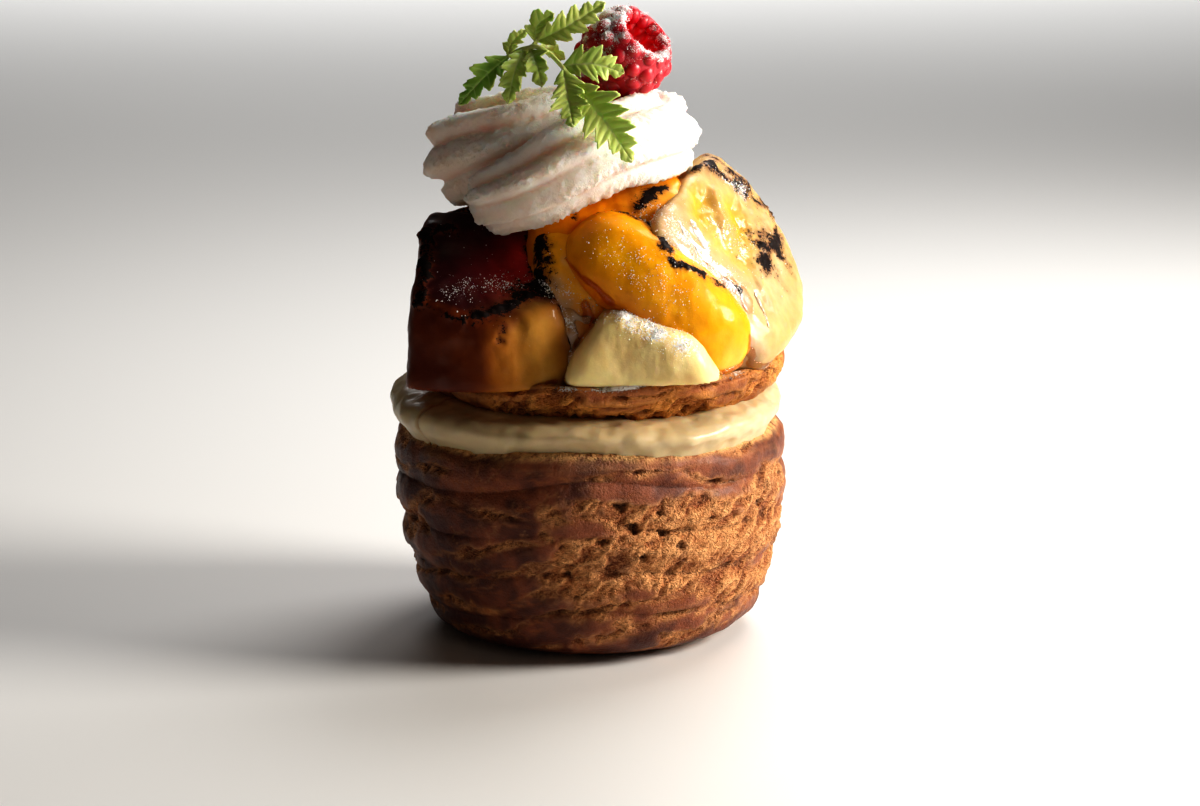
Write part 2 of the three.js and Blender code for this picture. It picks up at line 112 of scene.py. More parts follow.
class GradientNoise:
    """Seeded gradient noise in space, from about -1 to 1."""

    def __init__(self, seed: int) -> None:
        """Args: seed: picks the pattern."""
        rng = np.random.default_rng(seed)
        self.slopes = unit(rng.normal(size=(256, 3)))
        self.order = rng.permutation(256)
        self.chance = rng.random(256)

    def at(self, points: Array, size: float | Sequence[float] = 1) -> Array:
        """The noise at some points.

        Args:
            points: positions, n by 3.
            size: how large its features are, in all directions or along each axis.

        Returns:
            A value for each point.
        """
        spot = points / np.asarray(size, float) + 41.7
        cell = np.floor(spot).astype(np.int64)
        part = spot - cell
        ease = part**3 * (part * (part * 6 - 15) + 10)
        total = np.zeros(len(points))
        for corner in np.ndindex(2, 2, 2):
            index = np.zeros(len(points), np.int64)
            weight = np.ones(len(points))
            for axis, step in enumerate(corner):
                index = self.order[(index + cell[:, axis] + step) & 255]
                weight = weight * (ease[:, axis] if step else 1 - ease[:, axis])
            total += weight * ((part - corner) * self.slopes[index]).sum(axis=1)
        return total * 1.6

    def fbm(self, points: Array, size: float | Sequence[float], octaves: int = 3, gain: float = 0.5) -> Array:
        """Noise with finer noise on it.

        Args:
            points: positions, n by 3.
            size: the size of its largest features.
            octaves: how many layers it has, each half as large as the one before.
            gain: each layer's strength against the one before.

        Returns:
            A value for each point, from about -1 to 1.
        """
        size = np.asarray(size, float)
        layers = [gain**k * self.at(points + 13.1 * k, size / 2.03**k) for k in range(octaves)]
        return sum(layers) / sum(gain**k for k in range(octaves)) * 1.3

    def drift(self, points: Array, size: float, step: float) -> Array:
        """Three unlike noises at each point, to shift it by."""
        return np.stack([self.at(points + step * k, size) for k in range(3)], axis=1)

    def cells(self, points: Array, size: float | Sequence[float]) -> tuple[Array, Array, Array]:
        """Scattered centres, one in each cell of a grid.

        Args:
            points: positions, n by 3.
            size: the cells' size, in all directions or along each axis.

        Returns:
            How far the nearest centre is, in cells, how much further the next one is, and the nearest one's
            chance, from 0 to 1.
        """
        spot = points / np.asarray(size, float) + 17.3
        cell = np.floor(spot).astype(np.int64)
        nearest = np.full(len(points), 9.0)
        second = np.full(len(points), 9.0)
        chance = np.zeros(len(points))
        for offset in np.ndindex(3, 3, 3):
            index = np.zeros(len(points), np.int64)
            for axis in range(3):
                index = self.order[(index + cell[:, axis] + offset[axis] - 1) & 255]
            shift = [self.chance[(index * (7 + 2 * axis) + 31 * axis) & 255] for axis in range(3)]
            centre = cell + np.array(offset) - 1 + np.stack(shift, axis=1)
            far = np.linalg.norm(centre - spot, axis=1)
            second = np.minimum(second, np.maximum(far, nearest))
            chance = np.where(far < nearest, self.chance[(index * 5 + 3) & 255], chance)
            nearest = np.minimum(nearest, far)
        return nearest, second - nearest, chance


def near_line(points: Array, line: Sequence[Point]) -> Array:
    """How far each point is from a line through some points.

    Args:
        points: positions, n by 3.
        line: the line's corners, or a single point.

    Returns:
        A distance for each point.
    """
    corners = np.asarray(line, float)
    best = np.linalg.norm(points - corners[0], axis=1)
    for a, b in zip(corners[:-1], corners[1:]):
        along = np.clip((points - a) @ (b - a) / ((b - a) @ (b - a)), 0, 1)
        best = np.minimum(best, np.linalg.norm(points - a - along[:, None] * (b - a), axis=1))
    return best


def smooth_line(points: Sequence[Sequence[float]], spacing: float) -> Array:
    """Points at an even spacing along a smooth curve.

    Args:
        points: what the curve passes through.
        spacing: how far apart the new points are, about.

    Returns:
        The new points, ends included.
    """
    given = np.asarray(points, float)
    padded = np.concatenate([given[:1], given, given[-1:]])
    share = np.linspace(0.0, 1.0, 24, endpoint=False)[:, None]
    runs = []
    for k in range(len(given) - 1):
        a, b, c, d = padded[k : k + 4]
        bend, twist = 2 * a - 5 * b + 4 * c - d, 3 * b - a - 3 * c + d
        runs.append(0.5 * (2 * b + (c - a) * share + bend * share**2 + twist * share**3))
    return spaced(np.concatenate([*runs, given[-1:]]), spacing)


def spaced(line: Array, spacing: float) -> Array:
    """The same line with its points at an even spacing, ends kept.

    Args:
        line: the line's points.
        spacing: how far apart the new points are, about.

    Returns:
        The new points.
    """
    line = np.asarray(line, float)
    reach = np.concatenate([[0], np.cumsum(np.linalg.norm(np.diff(line, axis=0), axis=1))])
    count = max(2, int(round(reach[-1] / spacing)) + 1)
    stops = np.linspace(0.0, reach[-1], count)
    return np.stack([np.interp(stops, reach, line[:, k]) for k in range(line.shape[1])], axis=1)


def joined_lines(*lines: Array) -> Array:
    """Lines that follow each other as one, the points they share kept once."""
    return np.concatenate([lines[0], *[line[1:] for line in lines[1:]]])


# ---- Surfaces ----


@dataclass
class Surface:
    """Points and faces in millimetres, with named marks for each point that the finishes read."""

    points: Array
    faces: list[Array]
    marks: dict[str, Array] = field(default_factory=dict)

    def triangles(self) -> Array:
        """Splits its faces."""
        fans = [faces[:, [0, k, k + 1]] for faces in self.faces for k in range(1, faces.shape[1] - 1)]
        return np.concatenate(fans)

    def normals(self) -> Array:
        """Finds which way it faces.

        Returns:
            A vector of length 1 for each point.
        """
        corners = self.triangles()
        a, b, c = (self.points[corners[:, k]] for k in range(3))
        across = np.repeat(np.cross(b - a, c - a), 3, axis=0)
        flat = corners.ravel()
        normal = np.stack([np.bincount(flat, across[:, k], len(self.points)) for k in range(3)], axis=1)
        return normal / np.maximum(np.linalg.norm(normal, axis=1, keepdims=True), 1e-12)

    def crests(self, rounds: int) -> Array:
        """How far each point stands out from the surface round it, less than 0 in a hollow.

        Args:
            rounds: how many times the surface is evened out to compare it with.

        Returns:
            A length for each point.
        """
        corners = self.triangles()
        here = corners.ravel()
        there = corners[:, [1, 2, 0]].ravel()
        count = np.maximum(np.bincount(here, minlength=len(self.points)), 1)
        even = self.points
        for _ in range(rounds):
            even = np.stack([np.bincount(here, even[there, k], len(even)) / count for k in range(3)], axis=1)
        return ((self.points - even) * self.normals()).sum(axis=1)

    def swell(self, height: Array) -> None:
        """Moves every point outwards by its height."""
        self.points = self.points + self.normals() * height[:, None]

    def push_out(self, azimuth: Array, length: Array) -> None:
        """Moves every point level and away from the Z axis."""
        self.points[:, 0] += length * np.cos(azimuth)
        self.points[:, 1] += length * np.sin(azimuth)

    def face(self, towards: Array) -> None:
        """Turns its faces over if most of them face away from a direction, or from one for each point."""
        if (self.normals() * towards).sum() < 0:
            self.faces = [faces[:, ::-1] for faces in self.faces]

    def mesh(self, name: str) -> bpy.types.Mesh:
        """Its mesh in metres, with its marks as attributes.

        Args:
            name: the mesh's name.

        Returns:
            The new mesh, smooth.
        """
        sizes = np.concatenate([np.full(len(faces), faces.shape[1]) for faces in self.faces])
        corners = np.concatenate([faces.ravel() for faces in self.faces]).astype(np.int32)
        starts = np.concatenate([[0], np.cumsum(sizes)[:-1]]).astype(np.int32)
        mesh = bpy.data.meshes.new(name)
        mesh.vertices.add(len(self.points))
        mesh.vertices.foreach_set("co", (self.points * MM).astype(np.float32).ravel())
        mesh.loops.add(len(corners))
        mesh.loops.foreach_set("vertex_index", corners)
        mesh.polygons.add(len(sizes))
        mesh.polygons.foreach_set("loop_start", starts)
        mesh.update(calc_edges=True)
        mesh.shade_smooth()
        for key, mark in self.marks.items():
            if mark.ndim == 2:
                layer = mesh.attributes.new(key, "FLOAT_COLOR", "POINT")
                rgba = np.concatenate([np.clip(mark, 0, 1), np.ones((len(mark), 1))], axis=1)
                layer.data.foreach_set("color", rgba.astype(np.float32).ravel())
            else:
                layer = mesh.attributes.new(key, "FLOAT", "POINT")
                layer.data.foreach_set("value", mark.astype(np.float32))
        return mesh


def merged(parts: Sequence[Surface]) -> Surface:
    """Makes several surfaces one.

    Args:
        parts: the surfaces.

    Returns:
        The whole, with the marks that all of them have.
    """
    offsets = np.concatenate([[0], np.cumsum([len(part.points) for part in parts])[:-1]])
    faces = [f + offset for part, offset in zip(parts, offsets) for f in part.faces]
    shared = set.intersection(*[set(part.marks) for part in parts])
    marks = {key: np.concatenate([part.marks[key] for part in parts]) for key in sorted(shared)}
    return Surface(np.concatenate([part.points for part in parts]), faces, marks)


def grid_faces(rows: int, columns: int, round_trip: bool) -> Array:
    """The faces of a grid of points, row after row.

    Args:
        rows: how many rows of points there are.
        columns: how many points a row has.
        round_trip: whether a row's last point joins its first.

    Returns:
        Four point numbers for each face.
    """
    row = np.arange(rows - 1)[:, None] * columns
    here = np.arange(columns if round_trip else columns - 1)[None, :]
    there = (here + 1) % columns
    quads = [row + here, row + there, row + columns + there, row + columns + here]
    return np.stack(quads, axis=-1).reshape(-1, 4)


def tube_faces(rows: int, columns: int) -> list[Array]:
    """The faces of rings of points that are closed by two more points, the first ring's and the last ring's.

    Args:
        rows: how many rings there are.
        columns: how many points a ring has.

    Returns:
        The faces round the tube and those of its two ends.
    """
    here = np.arange(columns)
    there = (here + 1) % columns
    last = (rows - 1) * columns
    ends = [np.full(columns, rows * columns + k) for k in (0, 1)]
    first_fan = np.stack([ends[0], there, here], axis=1)
    last_fan = np.stack([ends[1], last + here, last + there], axis=1)
    return [grid_faces(rows, columns, True), first_fan, last_fan]


def turned(profile: Array, columns: int) -> tuple[Surface, Array, Array]:
    """A profile turned round the Z axis.

    Args:
        profile: [radius, z] rows from the axis below, round the outside, and back to the axis.
        columns: how many points go round.

    Returns:
        The surface, the azimuth of each of its points, and the row of the profile it comes from.
    """
    ring = profile[1:-1]
    azimuth = np.tile(np.arange(columns) / columns * TURN, len(ring))
    radius = np.repeat(ring[:, 0], columns)
    height = np.repeat(ring[:, 1], columns)
    points = np.stack([radius * np.cos(azimuth), radius * np.sin(azimuth), height], axis=1)
    ends = np.array([[0, 0, profile[0, 1]], [0, 0, profile[-1, 1]]])
    surface = Surface(np.concatenate([points, ends]), tube_faces(len(ring), columns))
    row = np.concatenate([np.repeat(np.arange(1, len(ring) + 1), columns), [0, len(ring) + 1]])
    return surface, np.concatenate([azimuth, [0, 0]]), row


def sides_of(line: Array, facing: Sequence[float]) -> tuple[Array, Array, Array]:
    """The directions at each point of a line.

    Args:
        line: the line's points.
        facing: a direction that lies across the line.

    Returns:
        Along the line, across it and the facing direction, and square to both.
    """
    along = unit(np.gradient(line, axis=0))
    side = unit(np.cross(along, facing))
    return along, side, np.cross(side, along)


def rings(line: Array, side: Array, up: Array, reach: Array, turn: Array) -> Array:
    """Rings of points round a line."""
    turn = turn[..., None]
    return line[:, None] + reach[..., None] * (np.cos(turn) * side[:, None] + np.sin(turn) * up[:, None])


def ball(count: int) -> Surface:
    """A unit ball of even faces.

    Args:
        count: how many faces lie along each side of the cube that it is made from.

    Returns:
        The surface.
    """
    steps = np.tan(np.linspace(-1, 1, count + 1) * math.pi / 4)
    u, v = (a.ravel() for a in np.meshgrid(steps, steps, indexing="ij"))
    one = np.ones_like(u)
    sides = [(one, u, v), (-one, v, u), (v, one, u), (u, -one, v), (u, v, one), (v, u, -one)]
    points = np.concatenate([np.stack(side, axis=1) for side in sides])
    size = (count + 1) ** 2
    faces = np.concatenate([grid_faces(count + 1, count + 1, False) + k * size for k in range(6)])
    rounded = np.round(points * 1e6).astype(np.int64)
    _, first, index = np.unique(rounded, axis=0, return_index=True, return_inverse=True)
    points = unit(points[first])
    faces = index.ravel()[faces]
    a, b, c = (points[faces[:, k]] for k in range(3))
    inwards = (np.cross(b - a, c - a) * a).sum(axis=1) < 0
    faces[inwards] = faces[inwards][:, ::-1]
    return Surface(points, [faces])


def azimuth_gap(azimuth: Array, degrees: float) -> Array:
    """How many degrees each azimuth is from a given one."""
    return np.abs((np.degrees(azimuth) - degrees + 180) % 360 - 180)


def placed(surface: Surface, name: str, finish: bpy.types.Material) -> Piece:
    """A piece of the bun as an object in the scene.

    Args:
        surface: its surface.
        name: the piece's name.
        finish: the material that it wears.

    Returns:
        The new object, riding on the part's one body.
    """
    mesh = surface.mesh(name)
    mesh.materials.append(finish)
    piece = bpy.data.objects.new(name, mesh)
    bpy.context.scene.collection.objects.link(piece)
    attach(piece, "root")
    LOG.info("%s: %d faces", name, len(mesh.polygons))
    return piece


def remeshed(surface: Surface, voxel: float, rounds: int) -> Surface:
    """One closed skin round everything in a surface.

    Args:
        surface: closed parts, which may run into each other.
        voxel: the size of the new faces.
        rounds: how many times the skin is relaxed.

    Returns:
        The new surface, without marks.
    """
    mesh = surface.mesh("skin")
    shape = bpy.data.objects.new("skin", mesh)
    bpy.context.scene.collection.objects.link(shape)
    remesh = shape.modifiers.new("remesh", "REMESH")
    remesh.mode = "VOXEL"
    remesh.voxel_size = voxel * MM
    relax = shape.modifiers.new("relax", "SMOOTH")
    relax.factor = 0.5
    relax.iterations = rounds
    bpy.context.view_layer.update()
    done = shape.evaluated_get(bpy.context.evaluated_depsgraph_get()).to_mesh()
    points = np.empty(len(done.vertices) * 3)
    done.vertices.foreach_get("co", points)
    done.calc_loop_triangles()
    corners = np.empty(len(done.loop_triangles) * 3, np.int32)
    done.loop_triangles.foreach_get("vertices", corners)
    shape.to_mesh_clear()
    bpy.data.objects.remove(shape)
    bpy.data.meshes.remove(mesh)
    return Surface(points.reshape(-1, 3) / MM, [corners.reshape(-1, 3)])


# ---- Finishes ----


class Wiring:
    """A node tree that is being wired."""

    def __init__(self, tree: bpy.types.NodeTree) -> None:
        """Args: tree: the tree that the nodes go into."""
        self.tree = tree

    def node(self, kind: str, **settings: object) -> Node:
        """Adds a node.

        Args:
            kind: the node's type, without its prefix.
            settings: properties to set on it.

        Returns:
            The new node.
        """
        made = self.tree.nodes.new("ShaderNode" + kind)
        for key, value in settings.items():
            setattr(made, key, value)
        return made

    def feed(self, node: Node, **inputs: object) -> Node:
        """Sets or links a node's inputs.

        Args:
            node: the node.
            inputs: a value or an output for each input, named with _ for a space, or i and its number.

        Returns:
            The same node.
        """
        for key, value in inputs.items():
            numbered = key[0] == "i" and key[1:].isdigit()
            target = node.inputs[int(key[1:])] if numbered else node.inputs[key.replace("_", " ")]
            if isinstance(value, Socket):
                self.tree.links.new(value, target)
            else:
                target.default_value = value
        return node

    def mark(self, name: str) -> Node:
        """A mark of the surface: its Color or its Fac."""
        return self.node("Attribute", attribute_name=name)

    def math(self, operation: str, a: object, b: object = 0, c: object = 0) -> Socket:
        """A value worked out from up to three others.

        Args:
            operation: the operation's name, with _HELD after it where the result is held between 0 and 1.
            a: the first value or output.
            b: the second.
            c: the third, which only MULTIPLY_ADD takes.

        Returns:
            The result's output.
        """
        held = operation.endswith("_HELD")
        node = self.node("Math", operation=operation.removesuffix("_HELD"), use_clamp=held)
        inputs = {"i0": a, "i1": b}
        if operation.startswith("MULTIPLY_ADD"):
            inputs["i2"] = c
        return self.feed(node, **inputs).outputs[0]

    def mix(self, a: object, b: object, share: object) -> Socket:
        """Two colours mixed by a share."""
        return self.feed(self.node("Mix", data_type="RGBA"), i0=share, i6=a, i7=b).outputs[2]

    def dimmed(self, colour: Socket, share: object) -> Socket:
        """A colour times a share, which may be more than 1."""
        node = self.node("Mix", data_type="RGBA", clamp_factor=False)
        return self.feed(node, i0=share, i6=(0, 0, 0, 1), i7=colour).outputs[2]

    def place(self) -> Socket:
        """Where the surface is, in metres."""
        return self.node("TexCoord").outputs["Object"]

    def noise(
        self, size: float, detail: float = 2.0, roughness: float = 0.6, place: Socket | None = None
    ) -> Socket:
        """Noise over the surface.

        Args:
            size: the size of its features in millimetres.
            detail: how many finer layers it has.
            roughness: how strong those are.
            place: where it is read, which is where the surface is unless it is given.

        Returns:
            The noise's output, from 0 to 1.
        """
        node = self.node("TexNoise")
        inputs = {"Scale": 1 / (size * MM), "Detail": detail, "Roughness": roughness}
        return self.feed(node, Vector=place or self.place(), **inputs).outputs[0]

    def cells(self, size: float, place: Socket) -> Socket:
        """How far the nearest of some scattered centres is, in cells of a size in millimetres."""
        return self.feed(self.node("TexVoronoi"), Vector=place, Scale=1 / (size * MM)).outputs["Distance"]

    def ridges(self, noise: Socket, sharp: float) -> Socket:
        """Turns noise into lines of height 1 where it crosses its middle."""
        far = self.math("ABSOLUTE", self.math("SUBTRACT", noise, 0.5))
        return self.math("MULTIPLY_ADD_HELD", far, -sharp, 1)

    def group(self, made: bpy.types.NodeTree, **inputs: object) -> dict:
        """Places a shared effect.

        Args:
            made: the effect's group.
            inputs: a value or an output for each of its inputs.

        Returns:
            Its outputs by name.
        """
        node = self.node("Group")
        node.node_tree = made
        return self.feed(node, **inputs).outputs

    def bump(self, shader: Node, height: object, strength: float, depth: float) -> None:
        """Gives a shader fine relief."""
        node = self.feed(self.node("Bump"), Strength=strength, Distance=depth * MM, Height=height)
        self.feed(shader, Normal=node.outputs[0])


def new_material(name: str) -> tuple[bpy.types.Material, Wiring, Node]:
    """An empty material.

    Args:
        name: its name.

    Returns:
        The material, its wiring and its shader.
    """
    material = bpy.data.materials.new(name)
    material.use_nodes = True
    return material, Wiring(material.node_tree), material.node_tree.nodes["Principled BSDF"]


def shared_effect(name: str, inputs: Sequence[str], outputs: Sequence[str]) -> tuple[Wiring, dict, dict]:
    """An empty node group.

    Args:
        name: the group's name.
        inputs: the names of the values it takes.
        outputs: the names of the values it gives.

    Returns:
        Its wiring, the sockets that its inputs come from, and the sockets that its outputs go to.
    """
    tree = bpy.data.node_groups.new(name, "ShaderNodeTree")
    for key in inputs:
        tree.interface.new_socket(key, in_out="INPUT", socket_type="NodeSocketFloat")
    for key in outputs:
        tree.interface.new_socket(key, in_out="OUTPUT", socket_type="NodeSocketFloat")
    wiring = Wiring(tree)
    start = tree.nodes.new("NodeGroupInput").outputs
    end = tree.nodes.new("NodeGroupOutput").inputs
    return wiring, {key: start[key] for key in inputs}, {key: end[key] for key in outputs}


def ragged_mask(name: str, size: float, sharp: float) -> bpy.types.NodeTree:
    """A group that turns a soft mark into a mask with a ragged edge.

    Args:
        name: the group's name.
        size: how large the edge's crumbs are.
        sharp: how quickly the mask goes from 0 to 1.

    Returns:
        The group, from Amount and Break to Mask.
    """
    wiring, given, result = shared_effect(name, ["Amount", "Break"], ["Mask"])
    crumbs = wiring.math("SUBTRACT", wiring.noise(size, 4, 0.65), 0.5)
    moved = wiring.math("MULTIPLY_ADD", crumbs, given["Break"], given["Amount"])
    mask = wiring.math("MULTIPLY_ADD_HELD", moved, sharp, 0.5 - 0.5 * sharp)
    wiring.tree.links.new(mask, result["Mask"])
    return wiring.tree


def fine_grain(name: str, size: float) -> bpy.types.NodeTree:
    """A group that gives a fine grain, coarse lumps and pores as values from 0 to 1.

    Args:
        name: the group's name.
        size: how large a grain is.

    Returns:
        The group, from Pores to Tone and Height.
    """
    wiring, given, result = shared_effect(name, ["Pores"], ["Tone", "Height"])
    fine = wiring.noise(size, 3, 0.7)
    hole = wiring.math("MULTIPLY_HELD", wiring.cells(2.5 * size, wiring.place()), 1.6)
    dips = wiring.math("MULTIPLY", wiring.math("SUBTRACT", 1, hole), given["Pores"])
    wiring.tree.links.new(wiring.math("SUBTRACT", fine, dips), result["Height"])
    coarse = wiring.noise(4 * size, 3)
    tone = wiring.math("MULTIPLY_ADD_HELD", coarse, 0.7, wiring.math("MULTIPLY", fine, 0.3))
    wiring.tree.links.new(tone, result["Tone"])
    return wiring.tree


def torn_fibres(name: str, size: float) -> bpy.types.NodeTree:
    """A group that gives the strands and little holes of torn pastry as values from 0 to 1.

    Args:
        name: the group's name.
        size: how thick a strand is.

    Returns:
        The group, to Tone and Height.
    """
    wiring, _, result = shared_effect(name, [], ["Tone", "Height"])
    place = wiring.place()
    drift = wiring.feed(wiring.node("TexNoise"), Vector=place, Scale=1 / (7 * size * MM), Detail=2)
    shift = wiring.node("VectorMath", operation="MULTIPLY_ADD")
    shift = wiring.feed(shift, i0=drift.outputs["Color"], i1=(6 * size * MM,) * 3, i2=place).outputs[0]
    stretch = wiring.node("VectorMath", operation="MULTIPLY")
    drawn = wiring.feed(stretch, i0=shift, i1=(0.45, 0.45, 1)).outputs[0]
    strands = wiring.ridges(wiring.noise(2 * size, place=drawn), 5)
    webs = wiring.ridges(wiring.noise(4.5 * size, 3, place=shift), 4)
    hole = wiring.math("MULTIPLY_ADD_HELD", wiring.cells(4 * size, shift), -3.2, 1)
    some = wiring.math("MULTIPLY_ADD_HELD", wiring.noise(9 * size), 6, -2.8)
    hole = wiring.math("MULTIPLY_HELD", hole, some)
    rise = wiring.math("MULTIPLY_ADD", webs, 0.5, wiring.math("MULTIPLY", strands, 0.5))
    height = wiring.math("MULTIPLY_ADD", hole, -0.15, rise)
    wiring.tree.links.new(height, result["Height"])
    # The tone follows the height: painted highlight on the strands and painted shade in the holes, with
    # random flecks.
    fleck = wiring.noise(1.2 * size, 2, 0.7)
    tone = wiring.math("MULTIPLY_ADD", fleck, 0.5, wiring.math("MULTIPLY_ADD", height, 0.75, -0.2))
    wiring.tree.links.new(wiring.math("ADD_HELD", tone, 0.02), result["Tone"])
    return wiring.tree


BURN_MASK = ragged_mask("ragged_burn", 0.6, 6)
POWDER_MASK = ragged_mask("scattered_powder", 0.4, 6)
FROST_MASK = ragged_mask("fine_frost", 0.24, 4)
CRUST_GRAIN = fine_grain("crust_grain", 0.22)
SOFT_GRAIN = fine_grain("soft_grain", 0.35)
TORN_FIBRES = torn_fibres("torn_fibres", 0.26)


BURNT: Colour = (0.012, 0.006, 0.005)
# The pale colour painted on the highest fibres: a painted highlight.
FIBRE_HIGHLIGHT: Colour = (0.92, 0.56, 0.28)
PALE_SYRUP: Colour = (0.98, 0.72, 0.45)


@dataclass
class Layers:
    """What a material shows while one layer after another is laid on it."""

    wiring: Wiring
    paint: Socket
    colour: Socket
    roughness: object
    coat: object
    height: Socket

    def tear(self) -> None:
        """Lays torn, fibrous pastry where the surface is marked torn, with painted highlight and shade on its
        fibres.
        """
        wiring = self.wiring
        share = wiring.mark("torn").outputs["Fac"]
        fibre = wiring.group(TORN_FIBRES)
        # The fibres' tone shades the paint and the highest of them take the pale colour: painted shade and
        # painted highlight.
        frayed = wiring.dimmed(self.paint, wiring.math("MULTIPLY_ADD", fibre["Tone"], 1.3, 0.42))
        pale = wiring.math("MULTIPLY_ADD_HELD", fibre["Tone"], 2.2, -1.15)
        frayed = wiring.mix(frayed, (*FIBRE_HIGHLIGHT, 1), wiring.math("MULTIPLY", pale, 0.4))
        self.colour = wiring.mix(self.colour, frayed, share)
        rough = wiring.math("MULTIPLY", wiring.math("MULTIPLY", fibre["Height"], 2.4), share)
        smoother = wiring.math("MULTIPLY", self.height, wiring.math("MULTIPLY_ADD", share, -0.6, 0.75))
        self.height = wiring.math("ADD", rough, smoother)
        self.roughness = wiring.math("MULTIPLY_ADD", share, 0.2, self.roughness)
        self.coat = wiring.math("MULTIPLY", wiring.math("SUBTRACT", 1, share), self.coat)

    def crumble(self) -> None:
        """Lays lumps where the surface is marked with crumbs."""
        wiring = self.wiring
        share = wiring.mark("crumbs").outputs["Fac"]
        lumps = wiring.math("MULTIPLY", wiring.ridges(wiring.noise(0.7, 3, 0.65), 5), -1.6)
        self.height = wiring.math("MULTIPLY_ADD", lumps, share, self.height)

    def moisten(self) -> None:
        """Keeps the glossy coat to where the surface is marked wet."""
        wet = self.wiring.mark("wet").outputs["Fac"]
        self.coat = self.wiring.math("MULTIPLY_HELD", wet, self.coat)
        self.roughness = self.wiring.math("MULTIPLY_ADD", wet, -0.15, self.roughness)

    def burn(self) -> None:
        """Lays black, rough crust with a ragged edge where the surface is marked burnt."""
        wiring = self.wiring
        burn = wiring.group(BURN_MASK, Amount=wiring.mark("burn").outputs["Fac"], Break=1.9)["Mask"]
        self.colour = wiring.mix(self.colour, (*BURNT, 1), burn)
        self.roughness = wiring.math("MULTIPLY_ADD", burn, 0.3, self.roughness)
        self.coat = wiring.math("MULTIPLY", self.coat, wiring.math("MULTIPLY_ADD", burn, -0.75, 1))
        self.height = wiring.math("MULTIPLY_ADD", burn, wiring.noise(0.6, 3), self.height)

    def powder(self, mask: bpy.types.NodeTree, colour: Colour, cover: float, coated: bool) -> None:
        """Lays sugar where the surface is marked with powder.

        Args:
            mask: the shared effect that breaks the sugar up.
            colour: the sugar's colour.
            cover: how well it hides what it lies on.
            coated: whether there is a glossy coat for it to dull.
        """
        wiring = self.wiring
        powder = wiring.group(mask, Amount=wiring.mark("powder").outputs["Fac"], Break=1.8)["Mask"]
        powder = wiring.math("MULTIPLY", powder, cover)
        self.colour = wiring.mix(self.colour, (*colour, 1), powder)
        self.roughness = wiring.math("MULTIPLY_ADD", powder, 0.5, self.roughness)
        if coated:
            self.coat = wiring.math("MULTIPLY", self.coat, wiring.math("SUBTRACT", 1, powder))
        self.height = wiring.math("MULTIPLY_ADD", powder, 1.2, self.height)


@dataclass(frozen=True)
class Finish:
    """A food's surface, which reads the marks paint, torn, crumbs, wet, burn and powder of what wears it."""

    name: str
    roughness: float
    coat: float = 0.0
    coat_roughness: float = 0.08
    glow: float = 0.0
    glow_reach: Point = (1, 0.4, 0.15)
    glow_scale: float = 0.003
    grain: bpy.types.NodeTree = SOFT_GRAIN
    relief: float = 0.3
    relief_depth: float = 0.12
    pores: float = 0.0
    tone: float = 0.25
    torn: bool = False
    crumbs: bool = False
    wet: bool = False
    burns: bool = False
    powder: bpy.types.NodeTree | None = None
    powder_colour: Colour = (0.93, 0.9, 0.87)
    powder_cover: float = 1.0
    specular: float = 0.5

    def material(self) -> bpy.types.Material:
        """Wires it.

        Returns:
            The new material.
        """
        material, wiring, shader = new_material(self.name)
        paint = wiring.mark("paint").outputs["Color"]
        grain = wiring.group(self.grain, Pores=self.pores)
        shade = wiring.math("MULTIPLY_ADD", grain["Tone"], 2 * self.tone, 1 - self.tone)
        dimmed = wiring.dimmed(paint, shade)
        layers = Layers(wiring, paint, dimmed, self.roughness, self.coat, grain["Height"])
        if self.torn:
            layers.tear()
        if self.crumbs:
            layers.crumble()
        if self.wet:
            layers.moisten()
        if self.burns:
            layers.burn()
        if self.powder:
            layers.powder(self.powder, self.powder_colour, self.powder_cover, self.coat > 0)
        wiring.feed(
            shader,
            Base_Color=layers.colour,
            Roughness=layers.roughness,
            Coat_Weight=layers.coat,
            Coat_Roughness=self.coat_roughness,
            Subsurface_Weight=self.glow,
            Subsurface_Radius=self.glow_reach,
            Subsurface_Scale=self.glow_scale,
            Specular_IOR_Level=self.specular,
        )
        wiring.bump(shader, layers.height, self.relief, self.relief_depth)
        return material


@dataclass(frozen=True)
class SyrupFinish:
    """Clear amber syrup."""

    name: str = "syrup"
    colour: Colour = (0.93, 0.5, 0.2)
    roughness: float = 0.04
    ior: float = 1.42
    relief: float = 0.15
    relief_depth: float = 0.1

    def material(self) -> bpy.types.Material:
        """Wires it.

        Returns:
            The new material.
        """
        material, wiring, shader = new_material(self.name)
        colour = wiring.mix((*self.colour, 1), (*PALE_SYRUP, 1), wiring.noise(2.5))
        wiring.feed(shader, Base_Color=colour, Roughness=self.roughness, IOR=self.ior, Transmission_Weight=1)
        wiring.bump(shader, wiring.noise(1.2), self.relief, self.relief_depth)
        return material


CRUST = Finish("choux_crust", 0.46, coat=0.16, coat_roughness=0.34, grain=CRUST_GRAIN, relief=1,
               relief_depth=0.3, pores=0.5, tone=0.5, torn=True, powder=POWDER_MASK, specular=0.4)
CUSTARD = Finish("custard_cream", 0.44, coat=0.2, coat_roughness=0.2, glow=0.35, glow_scale=0.002,
                 relief=0.14, pores=0.1, tone=0.06)
FRUIT = Finish("torched_fruit", 0.55, coat=0.8, coat_roughness=0.09, glow=0.3, glow_reach=(1, 0.45, 0.06),
               glow_scale=0.0028, relief=0.3, pores=0.35, tone=0.12, wet=True, burns=True, powder=POWDER_MASK,
               specular=0.2)
MILK = Finish("milky_glaze", 0.3, coat=0.9, coat_roughness=0.06, glow=0.4, glow_reach=(1, 0.6, 0.4),
              glow_scale=0.002, relief=0.25, tone=0.06, burns=True, powder=POWDER_MASK)
CREAM = Finish("whipped_cream", 0.6, glow=0.9, glow_reach=(1, 0.64, 0.46), glow_scale=0.0065, relief=0.8,
               relief_depth=0.2, pores=0.25, tone=0.04, crumbs=True, specular=0.3)
